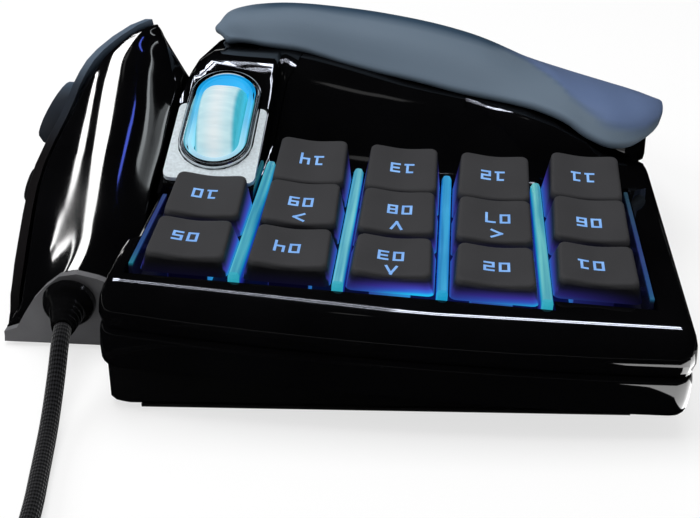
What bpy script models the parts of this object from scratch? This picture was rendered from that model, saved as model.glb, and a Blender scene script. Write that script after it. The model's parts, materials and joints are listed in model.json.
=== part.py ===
"""Gaming keypad for the left hand: a rolled key deck with fourteen keys and a scroll wheel,
a tall thumb wing with a direction pad, a sliding palm rest and a coiled USB lead.

Lengths are in metres. The unit stands on z = 0, +X is the pinky side, +Y points to the wrist,
and the lead leaves towards -Y. Places named *_x, *_y and *_z are measured from the plan point
below the front edge of the middle key of the first row, and heights from the table.
"""
import math

import bmesh
import bpy
import numpy as np
from mathutils import Matrix, Vector

mm = 0.001
TURN = 2.0 * math.pi

# Frame: where the middle key's front edge stands, and how the deck leans
KEY_EDGE_X = 14.5 * mm
KEY_EDGE_Y = -80.3 * mm
KEY_EDGE_Z = 32.0 * mm
DECK_ROLL = math.radians(3.04)
FIT_GAP = 0.3 * mm
OVERRUN = 6.0 * mm
FLATNESS = 0.0002 * mm

# Keys
KEY_PITCH = 22.0 * mm
ROW_PITCH = 19.2 * mm
COLUMN_COUNT = 5
KEY_BASE_WIDTH = 18.8 * mm
KEY_BASE_DEPTH = 18.5 * mm
KEY_TOP_WIDTH = 16.9 * mm
KEY_REAR_WIDTH = 16.2 * mm
KEY_CORNER = 1.6 * mm
KEY_EDGE_ROUND = 0.7 * mm
KEY_DISH = 0.5 * mm
KEY_WALL = 1.3 * mm
KEY_SKIRT_W = -4.3 * mm
KEY_FRONT_FLARE = 1.3 * mm
KEY_TRAVEL = 3.3 * mm
STEM_SIDE = 9.0 * mm
STEM_CORNER = 1.2 * mm
STEM_FOOT_W = -12.3 * mm
COLUMN_SHIFTS = (0.4 * mm, 0.3 * mm, 0.0, -0.4 * mm, 4.2 * mm)
ROW_EDGE_W = (0.0, 0.5 * mm, 2.0 * mm)
ROW_TOP_DEPTH = (14.8 * mm, 16.2 * mm, 16.2 * mm)
ROW_TILT = (0.105, 0.17, 0.264)
KEY_NUMBERS = ((5, 10), (4, 9, 14), (3, 8, 13), (2, 7, 12), (1, 6, 11))

# Key deck casings
DECK_W = -3.7 * mm
DECK_PLATE = 2.2 * mm
CASING_LEFT = 60.6 * mm
CASING_LEFT_STEP = 2.3 * mm
STEP_FRONT_V = 12.0 * mm
STEP_BACK_V = 14.0 * mm
STEP_ROUND = 0.9 * mm
CASING_RIGHT = 64.3 * mm
CASING_FRONT = 11.6 * mm
CASING_FRONT_SKEW = 0.4 * mm
CASING_FRONT_BOW = 2.9 * mm
CASING_BACK = 116.0 * mm
CASING_SLANT_V = 80.5 * mm
CASING_SLANT_ROUND = 10.0 * mm
CASING_CORNER = 4.0 * mm
CASING_WALL = 2.6 * mm
CASING_FRONT_WALL = 4.6 * mm
SEAM_W = -13.0 * mm
SEAM_GROOVE = 0.7 * mm
LOWER_BOTTOM_W = -23.0 * mm
LOWER_FLOOR = 2.4 * mm
CORNER_STEPS = 3
BOW_STEPS = 7
UPPER_LEVEL_SHARES = ((0.05, 0.15), (0.30, 0.0), (0.58, 0.09), (0.80, 0.34), (0.94, 0.66), (1.0, 1.0))
UPPER_FRONT_INSET = 6.4 * mm
UPPER_SIDE_INSET = 2.2 * mm
LOWER_LEVEL_SHARES = ((0.0, 1.0), (0.07, 0.50), (0.20, 0.18), (0.50, 0.0), (0.80, 0.03), (0.94, 0.20))
LOWER_EDGE_INSET = 1.5 * mm

# Key window in the deck
WINDOW_HALF = 56.4 * mm
WINDOW_FRONT = 3.4 * mm
WINDOW_BACK_GAP = 0.2 * mm
WINDOW_BACK = len(ROW_EDGE_W) * ROW_PITCH + WINDOW_BACK_GAP
WINDOW_STEP = 3.8 * mm
WINDOW_STEP_SIDE = 34.6 * mm
WINDOW_STEP_REAR_SIDE = 34.2 * mm
POD_FRONT = 37.3 * mm
POD_SIDE = 34.7 * mm

# Light guide, key carrier, dome sheet and circuit board
RIB_WIDTH = 2.4 * mm
RIB_TOP_W = -2.3 * mm
RIB_ROUND = 0.8 * mm
STRIP_WIDTH = 0.9 * mm
STRIP_SIDE = 55.4 * mm
GUIDE_FOOT_W = -9.6 * mm
GUIDE_BAR = 1.2 * mm
GUIDE_BAR_WIDTH = 1.8 * mm
GUIDE_BAR_HALF = 54.8 * mm
CARRIER_PLATE = 2.0 * mm
CARRIER_FRONT = 4.6 * mm
CARRIER_BACK = 62.4 * mm
CARRIER_LEFT = 55.2 * mm
CARRIER_RIGHT = 58.4 * mm
BOARD_W = -18.9 * mm
BOARD_PLATE = 1.6 * mm
SHEET_PLATE = 0.5 * mm
DOME_HIGH = 0.5 * mm
DOME_BASE_RADIUS = 4.4 * mm
DOME_TOP_RADIUS = 3.2 * mm
DOME_SIDES = 8
POST_RADIUS = 2.6 * mm
POST_SIDES = 10
POST_SIDE = 46.0 * mm
POST_FRONT_V = 2.0 * mm
POST_BACK_V = 56.0 * mm

# Wheel pod behind the shortest key column
POD_LEFT = 57.2 * mm
POD_TILT = math.radians(23.0)
POD_START_V = 33.4 * mm
POD_START_W = -1.5 * mm
POD_CREST_V = 77.5 * mm
POD_CREST_W = 17.0 * mm
POD_REST_V = 89.0 * mm
POD_REST_W = 15.4 * mm
POD_FALL = 3.6 * mm
POD_FOOT_W = -8.0 * mm
POD_SHOULDER = 5.0 * mm
PLATE_START = 4.4 * mm
PLATE_END = 29.6 * mm
PLATE_THICK = 1.2 * mm
PLATE_MARGIN = 0.5 * mm
PLATE_CORNER = 1.8 * mm
RING_CENTRE_U = -45.8 * mm
RING_CENTRE_S = 25.0 * mm
RING_HALF_WIDTH = 8.9 * mm
RING_HALF_LENGTH = 17.0 * mm
RING_BAND = 1.9 * mm
RING_PROUD = 1.5 * mm
RING_SEAT = 0.8 * mm
RING_ARC_STEPS = 8
GLOW_HALF_WIDTH = 6.7 * mm
GLOW_BAND = 1.0 * mm
GLOW_DEPTH = 3.4 * mm
WHEEL_WIDTH = 9.8 * mm
WHEEL_RADIUS = 13.0 * mm
WHEEL_SINK = 6.6 * mm
WHEEL_BORE = 1.8 * mm
WHEEL_RIB_COUNT = 24
WHEEL_RIB_DEPTH = 0.5 * mm
AXLE_RADIUS = 1.5 * mm
AXLE_SIDES = 12
WHEEL_CLICK = 0.8 * mm
ARM_THICK = 1.2 * mm
ARM_GAP = 0.4 * mm
ARM_HALF_LENGTH = 4.0 * mm
ARM_TOP = 2.9 * mm
CARRIAGE_FLOOR = 1.4 * mm
CARRIAGE_CLEAR = 1.2 * mm

# Hump behind the keys, under the palm rest, and its cover
HUMP_FOOT_GAP = 1.8 * mm
HUMP_FOOT_V = WINDOW_BACK + HUMP_FOOT_GAP
HUMP_RIGHT = 61.0 * mm
HUMP_RAMP = 28.5 * mm
HUMP_SETBACK = 3.4 * mm
HUMP_FALL = 3.0 * mm
HUMP_ROOT = 6.0 * mm
HUMP_SINK = 1.2 * mm
HUMP_STATION_COUNT = 14
HUMP_HEIGHT = 49.5 * mm
# place across, height and ramp: shares of the hump
HUMP_TOP_SHARES = (
    (0.0, 1.0, 1.0), (0.10, 0.970, 0.935), (0.22, 0.927, 0.871), (0.34, 0.885, 0.774), (0.46, 0.855, 0.677),
    (0.58, 0.830, 0.548), (0.70, 0.805, 0.387), (0.80, 0.745, 0.290), (0.87, 0.667, 0.226), (0.93, 0.594, 0.258),
    (1.0, 0.558, 0.323))
COVER_THICK = 1.6 * mm
COVER_MARGIN = 1.8 * mm
COVER_OUTLINE_SHARES = (
    (0.006, 0.040), (0.017, 0.211), (0.033, 0.414), (0.056, 0.496), (0.075, 0.818), (0.075, 1.0), (0.50, 1.0),
    (0.518, 0.3125), (0.567, 0.273), (0.626, 0.191), (0.665, 0.131), (0.688, 0.091), (0.688, 0.040))

# Base wedge, feet and case screws
BASE_LEFT = 61.0 * mm
BASE_LEFT_STEP = 3.6 * mm
BASE_RIGHT = 56.0 * mm
BASE_FRONT = 8.7 * mm
BASE_SKEW = 5.5 * mm
BASE_BACK = 110.0 * mm
BASE_CORNER = 3.5 * mm
BASE_SLANT_INSET = 5.0 * mm
BASE_CHAMFER = 1.2 * mm
FOOT_THICK = 0.8 * mm
FOOT_WIDTH = 6.0 * mm
FOOT_INSET = 1.6 * mm
SCREW_RADIUS = 2.4 * mm
SCREW_HEAD = 1.6 * mm
SCREW_SINK = 1.2 * mm
SCREW_SIDES = 12
SCREW_SIDE = 42.0 * mm
SCREW_FRONT_Y = 8.0 * mm
SCREW_BACK_Y = 84.0 * mm

# Thumb wing
WING_X = -96.0 * mm
WING_Y = 15.5 * mm
WING_WIDTH = 38.0 * mm
WING_LENGTH = 96.5 * mm
WING_HEIGHT = 60.0 * mm
WING_FLOOR = 1.1 * mm
WING_TAIL = 3.6 * mm
WING_TAIL_DROP = 4.0 * mm
PANEL_THICK = 2.2 * mm
PANEL_RISE = 0.9 * mm
PANEL_CLEAR = 1.0 * mm
PANEL_LIP = 2.3 * mm
PANEL_FOOT = 6.0 * mm
PANEL_EASE = 0.02 * mm
PANEL_BRIM = 0.4 * mm
END_PLATE_THICK = 2.0 * mm
END_PLATE_MARGIN = 0.2 * mm
# y, edge of the gloss shell, two places on its brow, its nose, its shoulder, its root,
# the middle of the thumb side, its foot, and how far the panel's lip rises: shares of the wing
WING_STATION_SHARES = (
    (0.024, (0.113, 0.067), (0.342, 0.225), (0.553, 0.330), (0.763, 0.308), (0.950, 0.250), (0.111, 0.033), 0.108, 0.00),
    (0.057, (0.142, 0.217), (0.342, 0.317), (0.553, 0.373), (0.776, 0.353), (0.950, 0.308), (0.116, 0.117), 0.092, 0.00),
    (0.088, (0.163, 0.307), (0.342, 0.373), (0.553, 0.412), (0.776, 0.393), (0.950, 0.350), (0.111, 0.183), 0.079, 0.00),
    (0.140, (0.166, 0.397), (0.350, 0.453), (0.553, 0.480), (0.789, 0.457), (0.950, 0.408), (0.097, 0.233), 0.063, 0.08),
    (0.202, (0.168, 0.482), (0.355, 0.530), (0.566, 0.553), (0.789, 0.533), (0.950, 0.475), (0.084, 0.283), 0.047, 0.12),
    (0.264, (0.176, 0.555), (0.361, 0.607), (0.571, 0.627), (0.789, 0.607), (0.963, 0.543), (0.074, 0.333), 0.037, 0.17),
    (0.337, (0.226, 0.643), (0.384, 0.692), (0.579, 0.713), (0.789, 0.693), (0.984, 0.617), (0.071, 0.383), 0.026, 0.21),
    (0.399, (0.295, 0.728), (0.421, 0.770), (0.592, 0.790), (0.789, 0.767), (0.989, 0.683), (0.082, 0.433), 0.018, 0.33),
    (0.461, (0.361, 0.827), (0.474, 0.853), (0.605, 0.860), (0.789, 0.833), (0.992, 0.733), (0.097, 0.483), 0.013, 0.62),
    (0.544, (0.479, 0.905), (0.579, 0.935), (0.658, 0.940), (0.800, 0.910), (0.995, 0.772), (0.132, 0.550), 0.013, 1.00),
    (0.596, (0.621, 0.960), (0.705, 0.982), (0.742, 0.987), (0.832, 0.957), (0.997, 0.783), (0.174, 0.583), 0.018, 1.00),
    (0.627, (0.724, 0.983), (0.800, 0.998), (0.816, 0.995), (0.863, 0.950), (0.997, 0.783), (0.200, 0.590), 0.026, 1.00),
    (0.720, (0.658, 0.867), (0.737, 0.885), (0.763, 0.882), (0.832, 0.850), (0.989, 0.708), (0.221, 0.533), 0.039, 0.62),
    (0.876, (0.605, 0.677), (0.684, 0.690), (0.711, 0.687), (0.789, 0.660), (0.955, 0.550), (0.237, 0.400), 0.079, 0.25),
    (1.000, (0.553, 0.483), (0.632, 0.497), (0.658, 0.493), (0.747, 0.460), (0.950, 0.383), (0.250, 0.267), 0.132, 0.17),
)
WING_LOW_SHARE = 0.53
WING_ROOT_SHARE = 0.950
WING_RING_COUNT = 26
BROW_POINT_COUNT = 9
SIDE_POINT_COUNT = 6

# Thumb controls
# a control's place on the wing: along it, then across it and up, as shares
PAD_SEAT_SHARES = (0.492, (0.218, 0.675))
PAD_AXIS = (-0.88, 0.10, 0.46)
PAD_RADIUS = 5.3 * mm
PAD_HOLE = 6.7 * mm
PAD_RIM = 8.8 * mm
PAD_RIM_RISE = 1.7 * mm
PAD_RIM_FOOT = 5.0 * mm
PAD_CAP = 3.2 * mm
PAD_CROWN = 1.0 * mm
PAD_STEM_RADIUS = 2.3 * mm
PAD_STEM_DEPTH = 5.6 * mm
PAD_SINK = 0.6 * mm
PAD_SIDES = 20
GIMBAL_RADIUS = 5.2 * mm
GIMBAL_BORE = 2.8 * mm
GIMBAL_THICK = 1.8 * mm
GIMBAL_DEPTH = 5.0 * mm
POCKET_DEPTH = 5.0 * mm
GIMBAL_POCKET = 3.0 * mm
BUTTON_SEAT_SHARES = (0.337, (0.100, 0.450))
BUTTON_AXIS = (-0.954, 0.0, 0.30)
BUTTON_RADIUS = 4.4 * mm
BUTTON_PROUD = 0.8 * mm
BUTTON_DEPTH = 5.4 * mm
BUTTON_CLEAR = 0.4 * mm
BUTTON_TRAVEL = 1.2 * mm
BAR_SEAT_SHARES = (0.5648, (0.0526, 0.2583))
BAR_AXIS = (-0.985, 0.0, 0.17)
BAR_HALF_LENGTH = 15.0 * mm
BAR_HALF_WIDTH = 4.2 * mm
BAR_PROUD = 1.6 * mm
BAR_DEPTH = 3.6 * mm
BAR_CORNER = 2.4 * mm
BAR_SWING = math.radians(4.0)
BAR_PIN_RADIUS = 0.9 * mm
BAR_PIN_HALF = 6.2 * mm
BAR_PIN_INSET = 3.0 * mm
BAR_PIN_SINK = 1.6 * mm
BAR_POCKET = 6.0 * mm

# Palm rest
REST_X = -56.0 * mm
REST_Y = 66.0 * mm
REST_WIDTH = 124.0 * mm
REST_LENGTH = 107.0 * mm
REST_RISE = 10.5 * mm
REST_THICK = 2.6 * mm
REST_ACROSS_COUNT = 25
REST_ALONG_COUNT = 11
REST_TRAVEL = 12.0 * mm
FRONT_SHARES = (
    (0.052, 0.243, 0.863), (0.145, 0.224, 0.847), (0.210, 0.224, 0.832), (0.302, 0.206, 0.788),
    (0.394, 0.178, 0.760), (0.474, 0.150, 0.745), (0.565, 0.121, 0.720), (0.634, 0.103, 0.708),
    (0.734, 0.065, 0.692), (0.801, 0.028, 0.645), (0.840, 0.006, 0.595), (0.885, 0.000, 0.577),
    (0.926, 0.028, 0.577), (0.955, 0.075, 0.577), (0.976, 0.131, 0.585))
CREST_SHARES = (
    (0.030, 0.262, 0.880), (0.060, 0.275, 0.925), (0.120, 0.299, 0.955), (0.219, 0.299, 0.960),
    (0.310, 0.290, 0.946), (0.402, 0.271, 0.933), (0.521, 0.243, 0.900), (0.610, 0.215, 0.855),
    (0.707, 0.187, 0.785), (0.777, 0.112, 0.735), (0.848, 0.037, 0.655), (0.885, 0.024, 0.633),
    (0.926, 0.047, 0.633), (0.964, 0.093, 0.648), (0.989, 0.168, 0.642))
BROW_SHARES = (
    (0.012, 0.374, 0.830), (0.032, 0.430, 0.870), (0.113, 0.467, 0.885), (0.218, 0.467, 0.888),
    (0.403, 0.439, 0.862), (0.565, 0.411, 0.815), (0.722, 0.364, 0.728), (0.883, 0.290, 0.675),
    (0.931, 0.257, 0.664), (0.968, 0.234, 0.652), (0.992, 0.215, 0.642))
BACK_SHARES = (
    (0.016, 0.542, 0.632), (0.036, 0.636, 0.623), (0.105, 0.692, 0.608), (0.210, 0.710, 0.585),
    (0.403, 0.701, 0.540), (0.565, 0.682, 0.490), (0.726, 0.636, 0.450), (0.839, 0.570, 0.410),
    (0.927, 0.477, 0.420), (0.964, 0.411, 0.454), (0.989, 0.336, 0.510))
REAR_SHARES = (
    (0.044, 0.766, 0.467), (0.073, 0.869, 0.333), (0.129, 0.944, 0.233), (0.218, 0.981, 0.200),
    (0.403, 1.000, 0.192), (0.565, 0.991, 0.192), (0.718, 0.935, 0.208), (0.827, 0.832, 0.275),
    (0.907, 0.682, 0.260), (0.944, 0.589, 0.330), (0.976, 0.477, 0.400))
FRAME_INSET = 2.4 * mm
FRAME_GAP = 1.2 * mm
FRAME_FRONT_Y = CASING_BACK + FRAME_GAP
FRAME_FLOOR = 1.1 * mm
FRAME_TAIL = 8.0 * mm
FRAME_LIP = 1.0 * mm
FRAME_SHELF_GAP = 1.0 * mm
FRAME_PAD_GAP = 0.9 * mm
FRAME_TUCK_X = 40.0 * mm
FRAME_TUCK_SHARE = 0.45
FRAME_TRY_COUNT = 48
RAIL_SIDE = 22.0 * mm
RAIL_WIDTH = 10.0 * mm
RAIL_THICK = 3.0 * mm
RAIL_REACH = 30.0 * mm
RAIL_SEAT = 10.0 * mm
RAIL_Z = 13.5 * mm
REST_FOOT_RADIUS = 6.0 * mm
REST_FOOT_X = 24.0 * mm
REST_FOOT_Y = 152.0 * mm

# Lead, coil and plug
CORD_DIAMETER = 4.0 * mm
CORD_BEVEL_STEPS = 2
COIL_BEVEL_STEPS = 1
BOOT_BASE_RADIUS = 4.7 * mm
BOOT_TIP_RADIUS = 2.7 * mm
BOOT_LENGTH = 11.0 * mm
BOOT_X = -75.2 * mm
BOOT_MARGIN = 1.7 * mm
BOOT_DROP = 1.4 * mm
BOOT_SWAY = 1.6 * mm
BOOT_SIDES = 14
CORD_GAP = 0.55 * mm
COIL_LAYER_COUNT = 4
COIL_TURN_COUNT = 3
COIL_LOOP_POINT_COUNT = 24
COIL_MIDDLE_RADIUS = 23.0 * mm
COIL_X = -36.0 * mm
COIL_Y = -102.0 * mm
CORD_POINT_STEP = 8.0 * mm
TAIL_LENGTH = 26.0 * mm
TIE_WIDTH = 6.0 * mm
TIE_THICK = 0.9 * mm
TIE_GAP = 0.5 * mm
PLUG_BOOT_LENGTH = 8.0 * mm
PLUG_BODY_LENGTH = 26.0 * mm
PLUG_BODY_WIDTH = 15.6 * mm
PLUG_BODY_HEIGHT = 7.6 * mm
PLUG_CORNER = 1.8 * mm
PLUG_SHELL_LENGTH = 12.0 * mm
PLUG_SHELL_WIDTH = 12.0 * mm
PLUG_SHELL_HEIGHT = 4.5 * mm
PLUG_SHELL_WALL = 0.5 * mm
PLUG_TONGUE = 1.8 * mm
# the free stretch of the lead, chosen by hand: x, y and height of its middle line
CORD_ROUTE = (
    (-72.6 * mm, -3.0 * mm, 9.6 * mm),
    (-71.9 * mm, -9.4 * mm, 6.3 * mm),
    (-70.4 * mm, -20.4 * mm, 3.0 * mm),
    (-68.4 * mm, -33.1 * mm, 2.1 * mm),
    (-66.2 * mm, -46.2 * mm, 2.1 * mm),
    (-64.8 * mm, -60.0 * mm, 2.1 * mm),
    (-64.8 * mm, -76.0 * mm, 2.1 * mm),
)


def clear_scene():
    """Remove whatever the file opened with."""
    for thing in list(bpy.data.objects):
        bpy.data.objects.remove(thing, do_unlink=True)


def finish(name, colour, roughness, metallic=0.0, glow=0.0):
    """A Principled material with one colour, given as linear red, green and blue."""
    material = bpy.data.materials.new(name)
    material.use_nodes = True
    shader = material.node_tree.nodes["Principled BSDF"]
    shader.inputs["Base Color"].default_value = (*colour, 1.0)
    shader.inputs["Roughness"].default_value = roughness
    shader.inputs["Metallic"].default_value = metallic
    if glow:
        shader.inputs["Emission Color"].default_value = (*colour, 1.0)
        shader.inputs["Emission Strength"].default_value = glow
    material.diffuse_color = (*colour, 1.0)
    return material


def gloss_black(name):
    """Polished black housing plastic."""
    return finish(name, (0.006, 0.006, 0.007), 0.08)


def empty(name, place=(0.0, 0.0, 0.0), turn=None, parent=None):
    """A parent point for pieces that share a frame or a joint."""
    point = bpy.data.objects.new(name, None)
    bpy.context.scene.collection.objects.link(point)
    point.parent = parent
    point.matrix_basis = Matrix.Translation(place) @ (turn or Matrix.Identity(4))
    return point


def bend(face):
    """How far a face's corners leave its plane."""
    start = face.verts[0].co
    return max(abs((corner.co - start).dot(face.normal)) for corner in face.verts)


def solid(name, points, faces, material, parent=None, origin=(0.0, 0.0, 0.0), sharp=math.radians(35.0)):
    """One closed body from points and faces, its faces turned outwards, shaded smooth."""
    mesh = bpy.data.meshes.new(name)
    start = Vector(origin)
    mesh.from_pydata([Vector(p) - start for p in points], [], [tuple(int(i) for i in f) for f in faces])
    body = bmesh.new()
    body.from_mesh(mesh)
    bmesh.ops.recalc_face_normals(body, faces=body.faces[:])
    bent = [face for face in body.faces if bend(face) > FLATNESS]
    bmesh.ops.triangulate(body, faces=bent, quad_method="SHORT_EDGE")
    body.to_mesh(mesh)
    body.free()
    mesh.shade_smooth()
    mesh.set_sharp_from_angle(angle=sharp)
    piece = bpy.data.objects.new(name, mesh)
    bpy.context.scene.collection.objects.link(piece)
    if material:
        mesh.materials.append(material)
    piece.parent = parent
    piece.location = start
    return piece


def ring_faces(rings, count, first=0):
    """Quads between neighbouring rings and one face over each end ring."""
    faces = []
    for r in range(rings - 1):
        low = first + r * count
        for k in range(count):
            after = (k + 1) % count
            faces.append((low + k, low + after, low + count + after, low + count + k))
    faces.append(tuple(range(first, first + count)))
    last = first + (rings - 1) * count
    faces.append(tuple(range(last, last + count)))
    return faces


def ring_solid(name, rings, material, parent=None, origin=(0.0, 0.0, 0.0)):
    """A body skinned over rings with the same number of points; its end rings are filled."""
    points = [tuple(p) for ring in rings for p in ring]
    return solid(name, points, ring_faces(len(rings), len(rings[0])), material, parent, origin)


def ring_group(name, stacks, material, parent=None, origin=(0.0, 0.0, 0.0)):
    """Several bodies in one object, each skinned over its own rings."""
    points = []
    faces = []
    for rings in stacks:
        faces += ring_faces(len(rings), len(rings[0]), len(points))
        points += [tuple(p) for ring in rings for p in ring]
    return solid(name, points, faces, material, parent, origin)


def at_height(outline, height):
    """A flat outline lifted to a height."""
    return [(p[0], p[1], height) for p in outline]


def rounded_outline(corners, radii, steps):
    """A polygon with each corner replaced by a round arc."""
    count = len(corners)
    outline = []
    for k in range(count):
        here = Vector(corners[k])
        before = (Vector(corners[k - 1]) - here).normalized()
        after = (Vector(corners[(k + 1) % count]) - here).normalized()
        half = 0.5 * before.angle(after)
        reach = radii[k] / math.tan(half)
        centre = here + (before + after).normalized() * (radii[k] / math.sin(half))
        start = here + before * reach - centre
        end = here + after * reach - centre
        turn = start.angle_signed(end)
        for step in range(steps + 1):
            arm = start.copy()
            arm.rotate(Matrix.Rotation(-turn * step / steps, 2))
            outline.append((centre.x + arm.x, centre.y + arm.y))
    return outline


def box_outline(half_x, half_y, corner, steps=CORNER_STEPS, x=0.0, y=0.0):
    """A rounded rectangle about a middle point."""
    corners = [(x - half_x, y - half_y), (x + half_x, y - half_y), (x + half_x, y + half_y), (x - half_x, y + half_y)]
    return rounded_outline(corners, [corner] * 4, steps)


def circle(radius, sides, x=0.0, y=0.0):
    """A flat circle of points."""
    return [(x + radius * math.cos(TURN * k / sides), y + radius * math.sin(TURN * k / sides)) for k in range(sides)]


def stadium(half_width, half_length, steps, x=0.0, y=0.0):
    """A slot outline with round ends, long in y."""
    straight = half_length - half_width
    points = []
    for end, start in ((1.0, 0.0), (-1.0, math.pi)):
        for k in range(steps + 1):
            angle = start + math.pi * k / steps
            points.append((x + half_width * math.cos(angle), y + end * straight + half_width * math.sin(angle)))
    return points


def block(low, high):
    """The two rings of a plain block between two corners."""
    outline = [(low[0], low[1]), (high[0], low[1]), (high[0], high[1]), (low[0], high[1])]
    return [at_height(outline, low[2]), at_height(outline, high[2])]


def combine(piece, tool, operation):
    """Join or cut a piece with another body, kept as a guide only."""
    change = piece.modifiers.new(operation.lower(), "BOOLEAN")
    change.operation = operation
    change.object = tool
    change.solver = "EXACT"
    tool.hide_render = True
    tool.display_type = "WIRE"


def smooth_path(points, count):
    """Places evenly spaced along a smooth curve through the given points."""
    given = np.array(points, dtype=float)
    steps = np.linalg.norm(np.diff(given, axis=0), axis=1)
    along = np.concatenate(([0.0], np.cumsum(steps)))
    slope = np.gradient(given, along, axis=0)
    wanted = np.linspace(0.0, along[-1], count)
    k = np.clip(np.searchsorted(along, wanted, side="right") - 1, 0, len(along) - 2)
    span = (along[k + 1] - along[k])[:, None]
    f = (wanted - along[k])[:, None] / span
    value = given[k] * (2 * f**3 - 3 * f**2 + 1) + given[k + 1] * (3 * f**2 - 2 * f**3)
    return value + span * (slope[k] * (f**3 - 2 * f**2 + f) + slope[k + 1] * (f**3 - f**2))


def axis_frame(place, axis, up=(0.0, 1.0, 0.0)):
    """A frame whose z runs along an axis, and whose y lies near the given direction."""
    z = Vector(axis).normalized()
    x = Vector(up).cross(z).normalized()
    y = z.cross(x)
    turn = Matrix((x, y, z)).transposed().to_4x4()
    return Matrix.Translation(place) @ turn


def set_rings(frame, outlines):
    """Rings given as (outline, height) in a frame, as places in its parent."""
    return [[frame @ Vector((p[0], p[1], height)) for p in outline] for outline, height in outlines]


def unit_place(x, y, z):
    """A place on the unit, from its plan point and height, in the world."""
    return Vector((KEY_EDGE_X + x, KEY_EDGE_Y + y, z))


def deck_height(x, w):
    """The height above the table of a level of the rolled deck, at a plan place."""
    return KEY_EDGE_Z + (w - x * math.sin(DECK_ROLL)) / math.cos(DECK_ROLL)


def slant_line(inset):
    """The sum of x and y along the casing's slanted rear corner, drawn in by an inset."""
    return CASING_RIGHT + CASING_SLANT_V - math.sqrt(2.0) * inset


def casing_outline(inset, front_inset=None):
    """The casing seen from above: a bowed front, a step beside the wing and a slanted rear corner."""
    front = -CASING_FRONT + (inset if front_inset is None else front_inset)
    back = CASING_BACK - inset
    left = -CASING_LEFT + inset
    right = CASING_RIGHT - inset
    slant = slant_line(inset)
    corners = [
        (left, front), (right, front + CASING_FRONT_SKEW), (right, slant - right), (slant - back, back),
        (left + CASING_LEFT_STEP, back), (left + CASING_LEFT_STEP, STEP_BACK_V), (left, STEP_FRONT_V)]
    radius = max(CASING_CORNER - inset, CASING_WALL)
    radii = [radius, radius, CASING_SLANT_ROUND - inset, radius, radius, STEP_ROUND, STEP_ROUND]
    outline = rounded_outline(corners, radii, CORNER_STEPS)
    first = outline[:CORNER_STEPS + 1]
    start = Vector(first[-1])
    end = Vector(outline[CORNER_STEPS + 1])
    bow = []
    for k in range(1, BOW_STEPS):
        share = k / BOW_STEPS
        place = start.lerp(end, share)
        bow.append((place.x, place.y - CASING_FRONT_BOW * (1.0 - (2.0 * share - 1.0) ** 2)))
    return first + bow + outline[CORNER_STEPS + 1:]


def key_centre(column, row):
    """The middle of a key's foot on the deck."""
    u = (column - COLUMN_COUNT // 2) * KEY_PITCH
    v = row * ROW_PITCH + COLUMN_SHIFTS[column] - KEY_FRONT_FLARE + 0.5 * KEY_BASE_DEPTH
    return u, v


def key_places():
    """Every key's number, column and row."""
    for column, numbers in enumerate(KEY_NUMBERS):
        for row, number in enumerate(numbers):
            yield number, column, row


def keycap(number, column, row, deck, material):
    """A hollow keycap with a dished, sloping top and its plunger, one moulding."""
    u, v = key_centre(column, row)
    front = KEY_FRONT_FLARE - 0.5 * KEY_BASE_DEPTH
    depth = ROW_TOP_DEPTH[row]
    rise = math.sin(ROW_TILT[row])
    run = math.cos(ROW_TILT[row])
    steps = 2

    def top_ring(shrink, drop):
        """An outline on the sloping top, drawn in and let down."""
        half = 0.5 * depth - shrink
        points = []
        for x, y in box_outline(0.5 * KEY_TOP_WIDTH - shrink, half, KEY_CORNER, steps):
            share = 0.5 + 0.5 * y / half
            narrow = 1.0 + (KEY_REAR_WIDTH / KEY_TOP_WIDTH - 1.0) * share
            along = 0.5 * depth + y
            height = ROW_EDGE_W[row] + along * rise - drop
            points.append((u + x * narrow, v + front + along * run, height))
        return points

    base = box_outline(0.5 * KEY_BASE_WIDTH, 0.5 * KEY_BASE_DEPTH, KEY_CORNER, steps, u, v)
    inner = box_outline(0.5 * KEY_BASE_WIDTH - KEY_WALL, 0.5 * KEY_BASE_DEPTH - KEY_WALL, KEY_CORNER, steps, u, v)
    stem = box_outline(0.5 * STEM_SIDE, 0.5 * STEM_SIDE, STEM_CORNER, steps, u, v)
    ceiling = min(ROW_EDGE_W[row], ROW_EDGE_W[0]) - KEY_WALL - KEY_DISH
    rings = [
        top_ring(0.28 * depth, KEY_DISH),
        top_ring(KEY_EDGE_ROUND + KEY_WALL, 0.35 * KEY_DISH),
        top_ring(KEY_EDGE_ROUND, 0.0),
        top_ring(0.0, KEY_EDGE_ROUND),
        at_height(base, KEY_SKIRT_W),
        at_height(inner, KEY_SKIRT_W),
        at_height(inner, ceiling - KEY_WALL),
        at_height(stem, ceiling - KEY_WALL),
        at_height(stem, STEM_FOOT_W)]
    return ring_solid(f"keycap_{number:02d}", rings, material, deck, (u, v, DECK_W))


def build_keys(deck):
    """The fourteen keys."""
    material = finish("matte charcoal keycap", (0.042, 0.043, 0.046), 0.62)
    for number, column, row in key_places():
        keycap(number, column, row, deck, material)


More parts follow.
